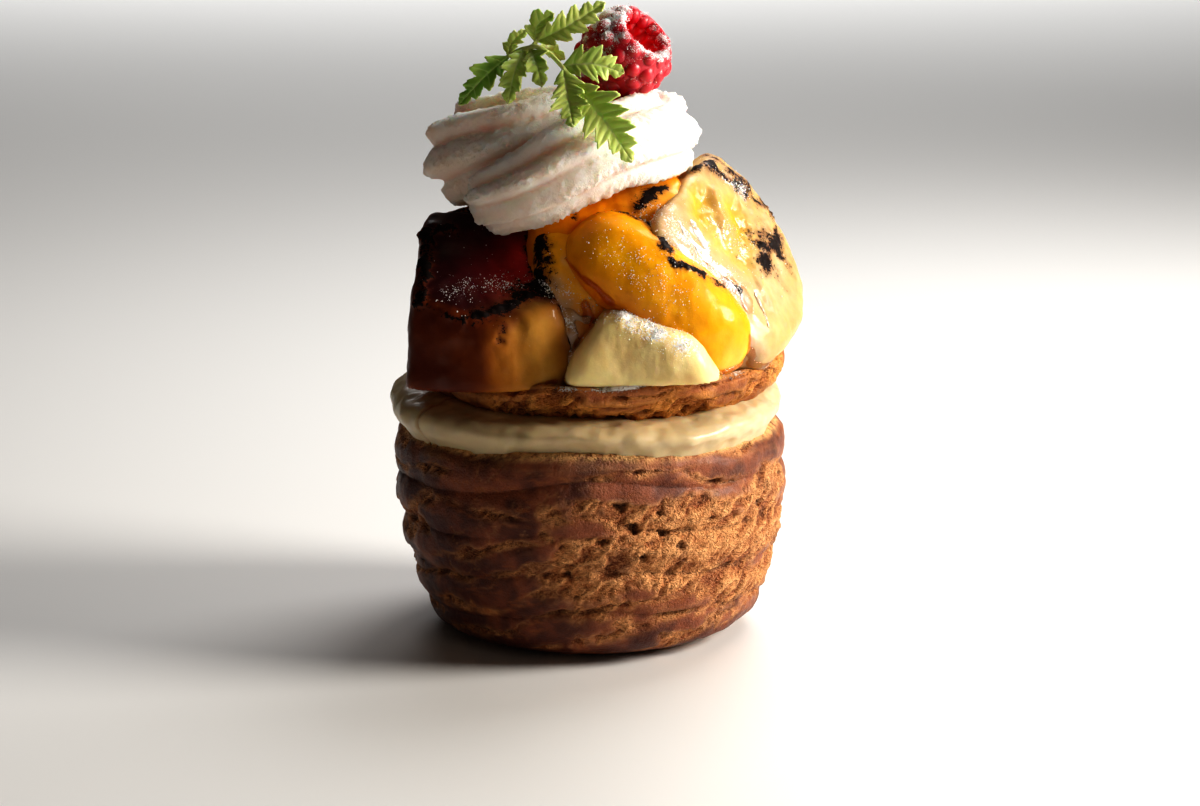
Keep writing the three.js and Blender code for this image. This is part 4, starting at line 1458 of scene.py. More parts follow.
FRUITS = (
    FruitShape(
        "fruit_cut_right", "fruit_right", (24, -2, 72), 11,
        ((0.69, -0.52, 0.5, 11.2), (0.67, 0.1, 0.74, 17.9), (0.96, 0.1, 0.28, 16.8), (0.75, -0.1, -0.65, 20),
         (-0.6, 0, 0.8, 18.9), (0, -1, -0.2, 22), (-1, 0, 0, 13), (0, 0, -1, 19), (0.2, 1, 0.1, 15)),
        PALE, detail=72, edge_burn=0.5, burnt_face=1, unevenness=0.8,
        washes=(
            Wash(YELLOW, ((22, -11, 88), (22, -13.5, 85.1)), 3.4),
            Wash(YELLOW, ((28.4, -5.3, 84.8), (30.4, -7, 81)), 3.4),
            Wash((0.66, 0.42, 0.08), ((25.1, -14, 80.3), (30.7, -11.2, 75.5)), 2.6, 0.7),
            Wash((0.64, 0.42, 0.14), ((33.5, -14, 62), (24, -24, 62)), 5, 0.6),
            Wash((0.56, 0.41, 0.22), ((36, -8, 70), (33, -14, 68)), 4, 0.6),
            Wash(MILKY, RIGHT_SEAM, 3.2, 0.75),
        ),
        dents=(
            Dent(((22, -11, 88), (22, -13.5, 85.1)), 2.6, 1.3),
            Dent(((28.4, -5.3, 84.8), (30.4, -7, 81)), 2.4, 1),
            Dent(((25.1, -14, 80.3), (30.7, -11.2, 75.5)), 2, 0.7),
            Dent(((24.5, -7, 89), (25.6, -10.5, 84), (28, -12.5, 80)), 1.3, -0.8),
            Dent(((22.5, -3, 92),), 2.2, -0.9),
            Dent(((33.5, -13.5, 74), (34.5, -12, 66)), 1.6, -0.5),
        ),
        burns=(
            Burn(((21.2, -3.6, 92.6), (23.2, -1.3, 92.9), (24.7, -1.3, 92.5)), 1, 1.1, 0.6),
            Burn(((24.7, -1.3, 92.5), (28.6, -0.4, 88.8), (31.2, 0.9, 86.4), (34.1, 3.2, 84.1),
                 (36.2, 5.2, 82.2)), 0.7, 0.75, 0.4),
            Burn(((32.8, -4.9, 79.2), (34.4, -4.2, 77.7)), 0.9, 0.85, 0.2),
            Burn(((33.7, -7.2, 75.8), (34.9, -6.4, 74.7)), 1.4, 1.05, 0.2),
            Burn(((37.1, -1.7, 76.3), (36.6, 1.1, 79.4)), 0.9, 0.85, 0.2),
            Burn(((34.6, -4.6, 77.2), (36.2, -2, 76)), 2.8, 0.8, 0.1),
            Burn(((24.2, -24.4, 73.8), (26.5, -19.3, 72.5), (30.1, -16.8, 70.4)), 0.8, 0.7, 0.2),
        ),
        dust=(
            Wash(WHITE, RIGHT_SEAM[1:6], 3.8, 0.56), Wash(WHITE, ((24, -10, 84), (28, -9, 79)), 4.5, 0.3),
            Wash(WHITE, ((22.5, -2.5, 92), (30, 0.5, 87.5)), 1.8, 0.42),
        ),
    ),
    FruitShape(
        "fruit_cut_centre", "fruit_centre", (13, -20, 70.6), 2.6,
        ((0.75, -0.2, -0.64, 20.5), (-0.75, 0.2, 0.64, 20), (0.64, 0.1, 0.76, 10.2), (-0.64, -0.1, -0.76, 9),
         (0.05, -0.97, 0.2, 11.5), (-0.05, 0.97, -0.2, 12)),
        GOLD, detail=66, unevenness=0.5, fibres=0.12,
        washes=(
            Wash((0.72, 0.17, 0), ((-2, -26, 74), (6, -31, 66), (16, -31, 60)), 5, 0.8),
            Wash((0.97, 0.47, 0.001), ((5, -28, 80), (14, -30, 74), (24, -28, 66)), 5, 0.75),
            Wash(MILKY, ((13, -19.5, 85), (18, -24.5, 80.5), (25, -24, 74)), 1.2, 0.6),
            Wash((0.95, 0.6, 0.08), ((27, -26, 60), (30, -22, 58)), 4, 0.6),
        ),
        burns=(
            Burn(((9.7, -18, 86.2), (11.6, -19, 84.9), (12.6, -22.7, 83.3), (14.1, -26.3, 81)),
            0.95, 1.15, 0.4),
            Burn(((1.8, -19.8, 86), (6.8, -17.7, 86.2), (9.7, -18, 86.2)), 0.5, 0.8, 0.2),
            Burn(((10, -18.5, 86),), 1.3, 1, 0.3),
            Burn(((14.8, -28, 79.2), (16.3, -28.2, 77.7)), 0.6, 0.9, 0.3),
            Burn(((18, -27.6, 77.3), (19.4, -26.8, 77), (21.5, -25.7, 75.7)), 0.8, 0.95, 0.3),
            Burn(((24.2, -24.4, 73.8), (26.5, -22.3, 72.5)), 0.8, 0.75, 0.3),
        ),
        dust=(Wash(WHITE, ((11, -18.5, 86), (15.5, -23.5, 82.5)), 2, 0.5),
              Wash(WHITE, ((5, -27, 81), (14, -30, 72)), 6, 0.27)),
    ),
    FruitShape(
        "fruit_cut_left", "fruit_left", (-20.5, -15, 66.5), 13,
        ((0.03, -0.5, 0.865, 10.3), (-0.38, -0.92, 0.05, 16.6), (0.3, -0.95, 0.1, 18), (-1, 0, 0.1, 13.6),
         (0.95, 0, 0.3, 15.4), (0, -0.05, -1, 14.2), (0, 1, 0, 11)),
        AMBER, detail=72, burnt_face=0, edge_burn=0.5, unevenness=0.7, fibres=0.2,
        # The faces are painted nearly black on the top and on the sides turned left and back, and lighter on
        # the side turned right: painted shade and painted light on the fruit's amber.
        face_colours=((0, (0.03, 0.003, 0.008), 0.98), (1, (0.2, 0.04, 0.003), 0.9),
                      (2, (0.36, 0.12, 0.006), 0.9),
                      (3, CARAMEL_IN_SHADE, 0.85), (4, (0.7, 0.3, 0.02), 0.7), (6, CARAMEL_IN_SHADE, 0.7)),
        # The near-black washes on the top and round the left end are painted shade.
        washes=(
            Wash((0.75, 0.05, 0.05), ((-12, -15, 80), (-13.5, -22, 76)), 6, 0.9),
            Wash((0.12, 0.005, 0.012), ((-22, -14, 79), (-22, -22, 75)), 5, 0.6),
            Wash((0.6, 0.32, 0.06), ((-10, -29, 65), (-8, -30, 56)), 6, 0.85),
            Wash((0.1, 0.014, 0.004), ((-31, -27, 68), (-22, -31, 66.2), (-15, -30, 68)), 2.6, 0.85),
            Wash((0.09, 0.014, 0.006), ((-34, -24, 62), (-27, -31, 54)), 7.5, 0.85),
            Wash((0.6, 0.3, 0.05), ((-18, -32, 53.5), (-8, -31, 54)), 1.8, 0.5),
            Wash(MILKY, LEFT_SEAM, 1.6, 0.7),
        ),
        dents=(
            Dent(((-31.2, -9.5, 80.5),), 1.5, -1.9), Dent(((-31.5, -14, 78.5),), 1.2, -0.7),
            Dent(((-31.6, -24, 72),), 1.1, -0.7), Dent(((-16.1, -30.3, 68.5), (-16.8, -32.4, 64.2)),
            0.5, 0.5),
            Dent(((-14, -31.5, 66), (-12, -32, 58)), 2, 0.5),
        ),
        burns=(
            Burn(((-31.7, -26.6, 70.1), (-29, -28.5, 69.3), (-25.9, -30, 68.1), (-23.2, -30.7, 67.6)),
                 0.5, 0.75, 0.3),
            Burn(((-23.2, -30.7, 67.6), (-18.7, -29.9, 69), (-15, -28.3, 70.4), (-11.3, -25.5, 72.1),
                  (-8.5, -24.3, 72.8), (-6.6, -24.6, 71.6)), 0.9, 1.15, 0.6),
            Burn(((-13.5, -26, 72.4), (-10.4, -25, 73.4), (-7.4, -24, 72.8)), 1.6, 0.95, 0.5),
            Burn(((-9.3, -14, 83), (-8.9, -19.9, 79), (-8.8, -21.9, 77), (-8.6, -24, 72.6)), 1.5, 1.3, 0.7),
            Burn(((-26.7, -9.8, 81.6), (-31, -10.6, 80.5), (-31.2, -18.2, 76.7), (-31.5, -23.8, 72.3),
                  (-31.9, -26.5, 70.1)), 0.9, 1, 0.9),
            Burn(((-16.1, -30.3, 68.5), (-16.4, -31.6, 66), (-16.9, -32.4, 63.6)), 0.4, 0.95, -0.3),
            Burn(((-6.4, -26.4, 69.7), (-4.6, -27, 66), (-4.4, -27, 63), (-3, -27, 60.2)), 0.45, 0.68, 0.1),
        ),
        dust=(
            Wash(WHITE, ((-8.5, -23.5, 75), (-6, -24.5, 71.5)), 2.8, 0.6),
            Wash(WHITE, ((-26.4, -26, 72), (-20.8, -23.9, 73.5), (-14, -23, 74)), 3.6, 0.26),
        ),
    ),
    FruitShape(
        "fruit_cut_front", "fruit_front", (10, -26, 62.5), 6.5,
        ((0.22, -0.25, 0.94, 6.6), (0, -1, 0.15, 9.2), (0.85, -0.2, 0.5, 11), (-0.82, 0, 0.57, 9.8),
         (0, -0.1, -1, 6.4), (0, 1, 0, 8)),
        BUTTER, detail=56, unevenness=0.45, fibres=0.25, sag=1.4,
        washes=(
            Wash((0.76, 0.45, 0.1), ((0.5, -31, 60), (1.5, -30, 64)), 2.2, 0.7),
            Wash((0.88, 0.68, 0.34), ((8, -34, 60), (14, -34, 60)), 4, 0.6),
            Wash((0.84, 0.45, 0.08), ((10, -30, 69), (18, -31.5, 65)), 1.6, 0.45),
        ),
        dents=(
            Dent(((3.5, -31.5, 66), (4.5, -33.5, 62), (3.5, -34, 58.5)), 1, 0.9),
            Dent(((6.5, -32, 68),), 1.5, -0.8), Dent(((12, -34.5, 64), (15, -34, 60)), 2.4, -0.5),
        ),
        dust=(Wash(WHITE, ((6.5, -31.5, 68), (9.5, -33.2, 67), (17, -33.8, 63.6)), 2.8, 0.76),),
    ),
    FruitShape(
        "fruit_cut_middle", "fruit_middle", (-3, -14, 71), 3,
        ((-1, 0, 0, 9), (1, 0, 0, 9), (0, -0.98, 0.2, 11.5), (0, 1, 0, 10), (0, -0.2, 0.98, 14.5),
        (0, 0, -1, 14)), (0.97, 0.46, 0.012), detail=44,
        washes=(
            Wash((0.6, 0.17, 0.008), ((-1, -25, 66), (1, -26, 60)), 3.4, 0.8),
            Wash((0.93, 0.55, 0.22), ((-4.5, -23.1, 78.3), (-1.8, -25.5, 75), (0.6, -26, 71.5)), 1, 0.5),
            Wash(MILKY, LEFT_SEAM, 2.2, 0.8),
        ),
        burns=(Burn(((-9, -17, 82.5), (-8.4, -21, 77.4), (-8.2, -22.5, 73)), 1.1, 1.2, 0.3),),
        dust=(Wash(WHITE, ((-5, -24, 73), (0.1, -25.6, 69.7)), 2.4, 0.42),),
    ),
    FruitShape(
        "fruit_cut_top", "fruit_top", (4, -4, 80), 5,
        ((-1, 0, 0, 16), (1, 0, 0, 15), (0, -0.9, 0.42, 15.5), (0, 1, 0, 15), (-0.08, -0.1, 0.98, 12),
         (0, 0, -1, 14)),
        (0.84, 0.29, 0.001), detail=44,
        washes=(
            Wash((0.85, 0.45, 0.08), ((10, -16, 88), (15, -13, 89)), 3, 0.6),
            Wash((0.86, 0.27, 0.003), ((-4, -18, 84), (4, -19, 84)), 4, 0.5),
        ),
        burns=(
            Burn(((9.7, -16.6, 87), (11.6, -14.8, 89.2), (13.5, -13.3, 90.6)), 0.9, 1.1, 0.4),
            Burn(((-2.4, -18.2, 85.5),), 0.6, 0.8, 0.1),
        ),
        dust=(Wash(WHITE, ((9.6, -18, 85.8), (13, -16.5, 87)), 1.6, 0.5),),
    ),
    FruitShape(
        "fruit_cut_back_left", "fruit_back_left", (-17, 13.5, 66.5), 7,
        ((-0.97, 0.15, 0, 15.5), (1, 0, 0, 16.5), (0, -1, 0, 14), (-0.3, 0.95, 0.1, 18),
         (-0.2, 0.32, 0.92, 14.5), (0, 0, -1, 15)),
        (0.7, 0.33, 0.03), detail=46, burnt_face=4, edge_burn=0.75,
        face_colours=((4, (0.42, 0.11, 0.01), 0.7), (0, (0.6, 0.22, 0.015), 0.7)),
        washes=(Wash((0.74, 0.5, 0.18), ((-22, 30, 60), (-6, 31, 60)), 8, 0.7),),
        dents=(Dent(((-20, 30, 72), (-14, 31, 62)), 3, 0.9), Dent(((-10, 25, 78),), 4, 0.8)),
        dust=(Wash(WHITE, ((-20, 24, 79), (-8, 26, 78)), 6, 0.4),),
    ),
    FruitShape(
        "fruit_cut_back_right", "fruit_back_right", (17, 17, 67.5), 6,
        ((-1, 0, 0, 17), (0.93, 0.3, 0, 17), (0, -1, 0, 15), (0.15, 0.98, 0.1, 14), (0.25, 0.42, 0.87, 14.5),
         (0, 0, -1, 16)),
        (0.66, 0.44, 0.14), detail=46, burnt_face=4, edge_burn=0.7,
        face_colours=((4, (0.62, 0.34, 0.05), 0.7),),
        washes=(Wash(PALE, ((28, 25, 62), (10, 31, 62)), 9, 0.7),),
        dents=(Dent(((22, 30, 66), (14, 31.5, 70)), 3, 0.9), Dent(((18, 25, 79),), 4, 1)),
        burns=(Burn(((20, 29.5, 74), (24, 28, 72)), 1.9, 0.9, 0.2),),
        dust=(Wash(WHITE, ((14, 26, 80), (26, 24, 77)), 6, 0.45),),
    ),
)


@dataclass
class FruitSkin:
    """The skin of one fruit while it is shaped and painted."""

    shape: FruitShape
    seed: int
    char: Colour = (0.16, 0.03, 0.006)

    def __post_init__(self) -> None:
        """Rounds the fruit's flat faces into one skin."""
        shape = self.shape
        self.noise = GradientNoise(self.seed)
        self.skin = ball(shape.detail)
        faces = np.array(shape.faces, float)
        facing = np.maximum(0, self.skin.points @ unit(faces[:, :3]).T)
        terms = (facing / faces[:, 3]) ** shape.sharpness
        total = terms.sum(axis=1)
        self.share = terms / total[:, None]
        points = self.skin.points * (total ** (-1 / shape.sharpness))[:, None] + np.array(shape.centre)
        points[:, 2] -= shape.sag * np.clip((shape.centre[2] - points[:, 2]) / 5, 0, 1)
        self.skin.points = self.base = points
        wide, fine = self.noise.drift(points, 2.6, 9), self.noise.drift(points, 0.9, 7)
        self.warped = points + 0.8 * wide + 0.35 * fine

    def burn(self) -> tuple[Array, Array]:
        """Burns the torch's lines and spots, and the edge of the burnt face.

        Returns:
            How burnt each point is, and how far it has swollen.
        """
        shape, noise, base = self.shape, self.noise, self.base
        burn = np.zeros(len(base))
        raised = np.zeros(len(base))
        patchy = 0.78 + 0.6 * noise.at(base + 11, 2.4) + 0.25 * noise.at(base + 3, 0.9)
        for stroke in shape.burns:
            line = [base[np.argmin(((base - corner) ** 2).sum(axis=1))] for corner in np.array(stroke.line)]
            far = near_line(self.warped, line) / (stroke.width * (1 + 0.5 * noise.at(base, 3)))
            char = 1.15 * stroke.strength * patchy / (1 + (far / 1.25) ** 2) * smooth(-far, -5, -2)
            burn = np.maximum(burn, char)
            raised = raised + stroke.raised * bell(far, 0, 1) * patchy
        if shape.edge_burn and shape.burnt_face is not None:
            share = self.share[:, shape.burnt_face]
            rim = (4 * share * (1 - share)) ** 2
            spread = smooth(noise.fbm(base + 30, 6, 2), -0.35, 0.35)
            behind = smooth(base[:, 1], -12, 2) if shape.centre[1] < 0 else 1
            burn = np.maximum(burn, rim * shape.edge_burn * (0.5 + spread) * patchy * behind)
            raised = raised + 0.4 * rim * spread * behind
        return burn, raised

    def relief(self, burn: Array, raised: Array) -> Array:
        """Makes the fruit uneven.

        Args:
            burn: how burnt each point is.
            raised: how far the torch has swollen it.

        Returns:
            A height for each point.
        """
        shape, noise, base = self.shape, self.noise, self.base
        height = shape.unevenness * (0.9 * noise.at(base, 8) + 0.3 * noise.at(base, 2.8))
        height = height + 0.2 * shape.fibres * noise.fbm(base, (1.3, 1.3, 3.4), 2)
        for dent in shape.dents:
            height = height - dent.depth * bell(near_line(self.warped, dent.line), 0, dent.reach)
        blisters = np.clip(burn, 0, 1) * (0.3 * noise.fbm(base, 0.9, 2) + 0.15)
        return height + 0.8 * raised * (1 + 0.7 * noise.at(base, 1.3)) + blisters

    def paint(self, burn: Array) -> Array:
        """Colours the fruit.

        Args:
            burn: how burnt each point is.

        Returns:
            A colour for each point.
        """
        shape, noise, base = self.shape, self.noise, self.base
        paint = np.tile(np.array(shape.colour, float), (len(base), 1))
        for index, colour, strength in shape.face_colours:
            paint = blend(paint, colour, strength * smooth(self.share[:, index], 0.2, 0.8))
        for wash in shape.washes:
            near = bell(near_line(self.warped, wash.line), 0, wash.reach)
            paint = blend(paint, wash.colour, wash.strength * near)
        mottle = noise.fbm(base + 50, 5, 3) + shape.fibres * noise.fbm(base + 50, (1.2, 1.2, 3.6), 2)
        paint = paint * (1 + 0.13 * mottle[:, None] * np.array([0.6, 1.2, 2]))
        return blend(paint, self.char, 0.75 * smooth(burn, 0.1, 0.6))

    def dressed(self, seat: Callable[[Surface], None]) -> Surface:
        """Gives the skin its relief and its marks.

        Args:
            seat: sets the fruit down in the lid.

        Returns:
            The surface.
        """
        noise, base, skin = self.noise, self.base, self.skin
        burn, raised = self.burn()
        skin.swell(self.relief(burn, raised))
        seat(skin)
        up = skin.normals()[:, 2]
        dust = 0.05 * smooth(up, 0, 0.6)
        wet = 0.12 + 0.5 * smooth(noise.at(base + 70, 7), 0, 0.5)
        for wash in self.shape.dust:
            near = bell(near_line(base, wash.line), 0, wash.reach)
            dust = np.maximum(dust, wash.strength * near * (0.8 + 0.5 * noise.at(base, 2.6)))
            wet = np.maximum(wet, near)
        dust = dust + 0.2 * np.minimum(up, 0)
        skin.marks = {"paint": self.paint(burn), "burn": burn, "powder": dust, "wet": wet}
        return skin


@dataclass
class FruitPile:
    """The torched fruit heaped in the lid, of which dish is the wall and dish_floor the floor."""

    shapes: tuple[FruitShape, ...] = FRUITS
    seed: int = 100
    dish: tuple[tuple[float, float], ...] = ((49.8, 15), (51.4, 25), (55.6, 31.6), (58, 60))
    dish_floor: tuple[tuple[float, float], ...] = ((0, 50), (15, 50), (25.4, 51.6), (31, 55.2))
    surfaces: list[Surface] = field(default_factory=list)

    def seat(self, skin: Surface) -> None:
        """Draws in whatever of a fruit would show through the lid.

        Args:
            skin: the fruit's surface, which is changed.
        """
        x, y, z = (skin.points - (LID_X, 0, 0)).T
        far = np.maximum(np.hypot(x, y), 1e-6)
        dip = lid_dip(np.arctan2(y, x))
        pull = np.minimum(1, np.interp(z + dip, *np.array(self.dish).T) / far)
        floor = np.interp(far * pull, *np.array(self.dish_floor).T) - dip * smooth(far, 25, 35)
        skin.points = np.stack([LID_X + x * pull, y * pull, np.maximum(z, floor)], axis=1)

    def build(self) -> list[Piece]:
        """Builds and dresses each fruit.

        Returns:
            The pieces.
        """
        finish = FRUIT.material()
        pieces = []
        for number, shape in enumerate(self.shapes):
            surface = FruitSkin(shape, self.seed + number).dressed(self.seat)
            self.surfaces.append(surface)
            piece = placed(surface, shape.name, finish)
            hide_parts(shape.node)
            pieces.append(piece)
        return pieces


@dataclass(frozen=True)
class SyrupRun:
    """Syrup that has run along a line, its radius at the start and at the end."""

    line: tuple[Point, ...]
    start: float
    end: float
    clings: bool = True


SYRUP_RUNS = (
    SyrupRun(((-4.5, -23.1, 78.3), (-1.8, -26.3, 76.2), (1.1, -28.8, 74.2), (3.9, -29.4, 71)), 0.5, 1),
    SyrupRun(((-0.8, -26.5, 70), (0.2, -28, 66), (0.2, -29, 62.5)), 1.2, 1.4),
    SyrupRun(((29.7, -24, 63.6), (31.2, -21.6, 59)), 0.6, 1.2),
    SyrupRun(((-8, -31.5, 56), (0, -33.4, 56.2), (10, -33.6, 56.3), (20, -30.6, 56.4)), 0.6, 0.7),
    SyrupRun(((20, -30.6, 56.4), (29, -25, 56.8), (35, -14, 57)), 0.7, 1.2),
    SyrupRun(((-5, -25, 54), (-1, -28.5, 55), (4, -28, 55.5)), 3, 3, False),
    SyrupRun(((-1, -26.5, 62), (-0.5, -27.5, 58)), 2.6, 3.2, False),
    SyrupRun(((-14, 30, 57), (0, 32, 56.5), (16, 30, 57)), 0.9, 1.1),
)
MILKY_RUNS = (
    SyrupRun(((13, -18, 86.6), (15.5, -18.5, 85), (17.5, -19.5, 82.7), (20.5, -20.5, 79.4), (24.5, -19, 75.9),
              (28.5, -17.5, 72), (30.5, -18.5, 68)), 1, 1.7),
    SyrupRun(((17, -15.5, 86.5), (19.5, -17, 82.5), (22.5, -18, 79)), 0.8, 1.3),
    SyrupRun(((30, -17.5, 69), (30.4, -19.5, 64), (30.8, -20, 60.5)), 1.3, 0.6),
    SyrupRun(((32.5, -15, 70), (33.4, -15.5, 66), (33.2, -16.4, 63)), 0.9, 0.5),
    SyrupRun(((-6.5, -24, 72.5), (-5.4, -25.2, 69.5), (-4, -26.4, 65.5), (-2.6, -27.6, 61.5),
             (-2.6, -28.5, 58.5)), 1.1, 1.7),
    SyrupRun(((-4.5, -26, 68.5), (-1.5, -27, 67), (1.5, -28.6, 67.8)), 1.3, 0.7),
)


SCORCHED = (
    ((9.8, -17.5, 87), (11.6, -19, 84.9), (12.6, -22.7, 83.3), (14.1, -25.5, 81.5)),
    ((24.2, -22.4, 74.8), (26.5, -21.3, 73), (29, -18.8, 71.4)),
)


@dataclass
class SyrupGlaze:
    """Syrup that pools between the pieces of fruit and runs down them, amber or milky with sugar."""

    name: str
    runs: tuple[SyrupRun, ...]
    milky: bool = False
    scorched: tuple[tuple[Point, ...], ...] = ()
    voxel: float = 0.3
    seed: int = 71
    clear: Colour = (0.54, 0.29, 0.11)
    cloudy: Colour = (0.55, 0.38, 0.27)

    def skin(self, onto: list[Surface], noise: GradientNoise) -> Surface:
        """Runs together flat drops that lie along the runs.

        Args:
            onto: what it has run over.
            noise: what makes the drops unlike.

        Returns:
            The surface.
        """
        whole = merged(onto)
        tree = BVHTree.FromPolygons(whole.points.tolist(), whole.triangles().tolist())
        drop = ball(6)
        flat_share = 0.84 if self.milky else 0.62
        drops = []
        for run in self.runs:
            line = smooth_line(run.line, 0.35)
            sizes = np.linspace(run.start, run.end, len(line)) * (1.0 + 0.4 * noise.at(line, 2.0))
            for spot, size in zip(line, sizes):
                place, normal, _, _ = tree.find_nearest(Vector(spot))
                place = np.array(place) if run.clings else spot
                normal = np.array(normal)
                flat = drop.points - flat_share * (drop.points @ normal)[:, None] * normal
                drops.append(Surface(place + flat * size, drop.faces))
        return remeshed(merged(drops), self.voxel, 5)

    def build(self, onto: list[Surface]) -> Piece:
        """Builds and dresses it.

        Args:
            onto: what it has run over.

        Returns:
            The piece.
        """
        noise = GradientNoise(self.seed)
        skin = self.skin(onto, noise)
        if not self.milky:
            return placed(skin, self.name, SyrupFinish().material())
        base = skin.points.copy()
        skin.swell(0.12 * noise.at(base, 1.6))
        cloudy = smooth(noise.fbm(base, 3.4, 3), -0.35, 0.45)
        skin.marks["paint"] = blend(self.clear, self.cloudy, cloudy)
        burn = np.zeros(len(base))
        for line in self.scorched:
            far = near_line(base + 0.6 * noise.at(base, 1.4)[:, None], line) / 0.9
            burn = np.maximum(burn, (0.85 + 0.5 * noise.at(base + 5, 2.4)) / (1 + far**2))
        skin.marks["burn"] = burn
        high = smooth(base[:, 2], 66, 78)
        skin.marks["powder"] = 0.16 + 0.36 * high + 0.15 * cloudy + 0.45 * noise.at(base + 9, 2.6)
        return placed(skin, self.name, MILK.material())


# ---- Whipped cream ----


@dataclass
class CreamSwirl:
    """Cream piped through a star nozzle: a rope that winds up round a heart.

    Each row of the rope has its angle in degrees, how far it is from the axis, its height and its radius.
    """

    teeth: int = 8
    groove: float = 0.23
    long_side: float = 0.66
    roll: float = 3.0
    sides: int = 144
    axis: tuple[float, float] = (-5, -1)
    heart: tuple[Point, Point] = ((-5, -1, 94.5), (15, 15, 11))
    voxel: float = 0.42
    seed: int = 41
    rows: tuple[tuple[float, float, float, float], ...] = (
        (222, 21, 88.3, 6.4), (245, 20.5, 90.2, 8), (272, 18.5, 96.3, 9.2), (300, 17.5, 99.6, 9),
        (360, 17.5, 98.7, 9.2), (450, 16, 96.6, 10), (495, 16.6, 95.2, 10.6), (540, 17.2, 94.6, 11),
        (575, 15.6, 98.2, 10), (610, 11, 101.5, 8.2), (690, 4, 104.5, 5.5),
    )
    taper: tuple[float, ...] = (0.12, 0.45, 0.66, 0.8, 0.9, 0.96)
    colour: Colour = (0.93, 0.9, 0.85)
    # The warm tan painted as shade on the cream.
    warm_shade: Colour = (0.82, 0.6, 0.46)

    def rope(self) -> Surface:
        """Pipes the rope.

        Returns:
            Its closed surface.
        """
        table = np.array(self.rows, float)
        angles = np.arange(table[0, 0], table[-1, 0] + 0.1, 1.6)
        near = [angles + 14 * k for k in (-1, -0.5, 0, 0.5, 1)]
        spread, height, radius = (
            np.mean([np.interp(a, table[:, 0], table[:, k]) for a in near], axis=0) for k in (1, 2, 3)
        )
        turn = np.radians(angles)
        centre = np.stack(
            [self.axis[0] + spread * np.cos(turn), self.axis[1] + spread * np.sin(turn), height], axis=1
        )
        along, side, up = sides_of(centre, (0, 0, 1))
        tooth = np.arange(self.sides) / self.sides * TURN
        part = (self.teeth * tooth / TURN + 0.5) % 1 - 0.5
        slope = np.where(part > 0, part / self.long_side, -part / (1 - self.long_side))
        star = 1 - self.groove * np.minimum(slope, 1) ** 1.4
        rolled = self.roll * (angles - angles[0]) / (angles[-1] - angles[0])
        end = len(self.taper)
        taper = np.ones(len(angles))
        taper[:end] = self.taper
        taper[-end:] = self.taper[::-1]
        ring = rings(centre, side, up, (radius * taper)[:, None] * star, tooth + rolled[:, None])
        shift = ((1 - taper) * radius * 0.5)[:, None] * along
        ring[:end] -= shift[:end, None]
        ring[-end:] += shift[-end:, None]
        points = np.concatenate([ring.reshape(-1, 3), [ring[0].mean(axis=0)], [ring[-1].mean(axis=0)]])
        surface = Surface(points, tube_faces(len(angles), self.sides))
        surface.face(points - np.concatenate([np.repeat(centre, self.sides, axis=0), points[-2:]]))
        return surface

    def build(self) -> Piece:
        """Builds and dresses it.

        Returns:
            The piece.
        """
        middle = ball(24)
        middle.points = middle.points * np.array(self.heart[1]) + np.array(self.heart[0])
        skin = remeshed(merged([self.rope(), middle]), self.voxel, 2)
        noise = GradientNoise(self.seed)
        base = skin.points.copy()
        normals = skin.normals()
        crest = smooth(skin.crests(16), 0.02, 0.3)
        lying = smooth(normals[:, 2] + 0.5 * noise.at(base + 20, 6), 0.2, 0.9)
        crumbs = np.maximum(0.7 * lying, crest) * smooth(noise.fbm(base + 44, 5, 2), -0.6, 0.2)
        soft = 0.35 * noise.at(base, 8) + 0.16 * noise.at(base, 3) + 0.06 * noise.at(base, 1.5)
        skin.swell(soft + (0.05 + 0.6 * crumbs) * noise.fbm(base, 1, 2) + 0.15 * crumbs)
        hollow = smooth(-skin.crests(16), 0.02, 0.5)
        # Painted shade: a warm tan on the faces turned down and left, away from the light, and in the
        # hollows, with some warm patches at random.
        shaded = smooth(normals @ np.array([-0.6, -0.2, -0.77]), -0.2, 0.9)
        warm_tone_and_shade = 0.25 * smooth(noise.fbm(base + 70, 12, 2), -0.3, 0.6) + 0.7 * shaded + 0.15 * hollow
        skin.marks["paint"] = blend(self.colour, self.warm_shade, np.clip(warm_tone_and_shade, 0, 1))
        skin.marks["crumbs"] = 0.12 + 0.88 * crumbs
        piece = placed(skin, "cream_swirl", CREAM.material())
        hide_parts("whipped_cream")
        return piece


# ---- Raspberry ----


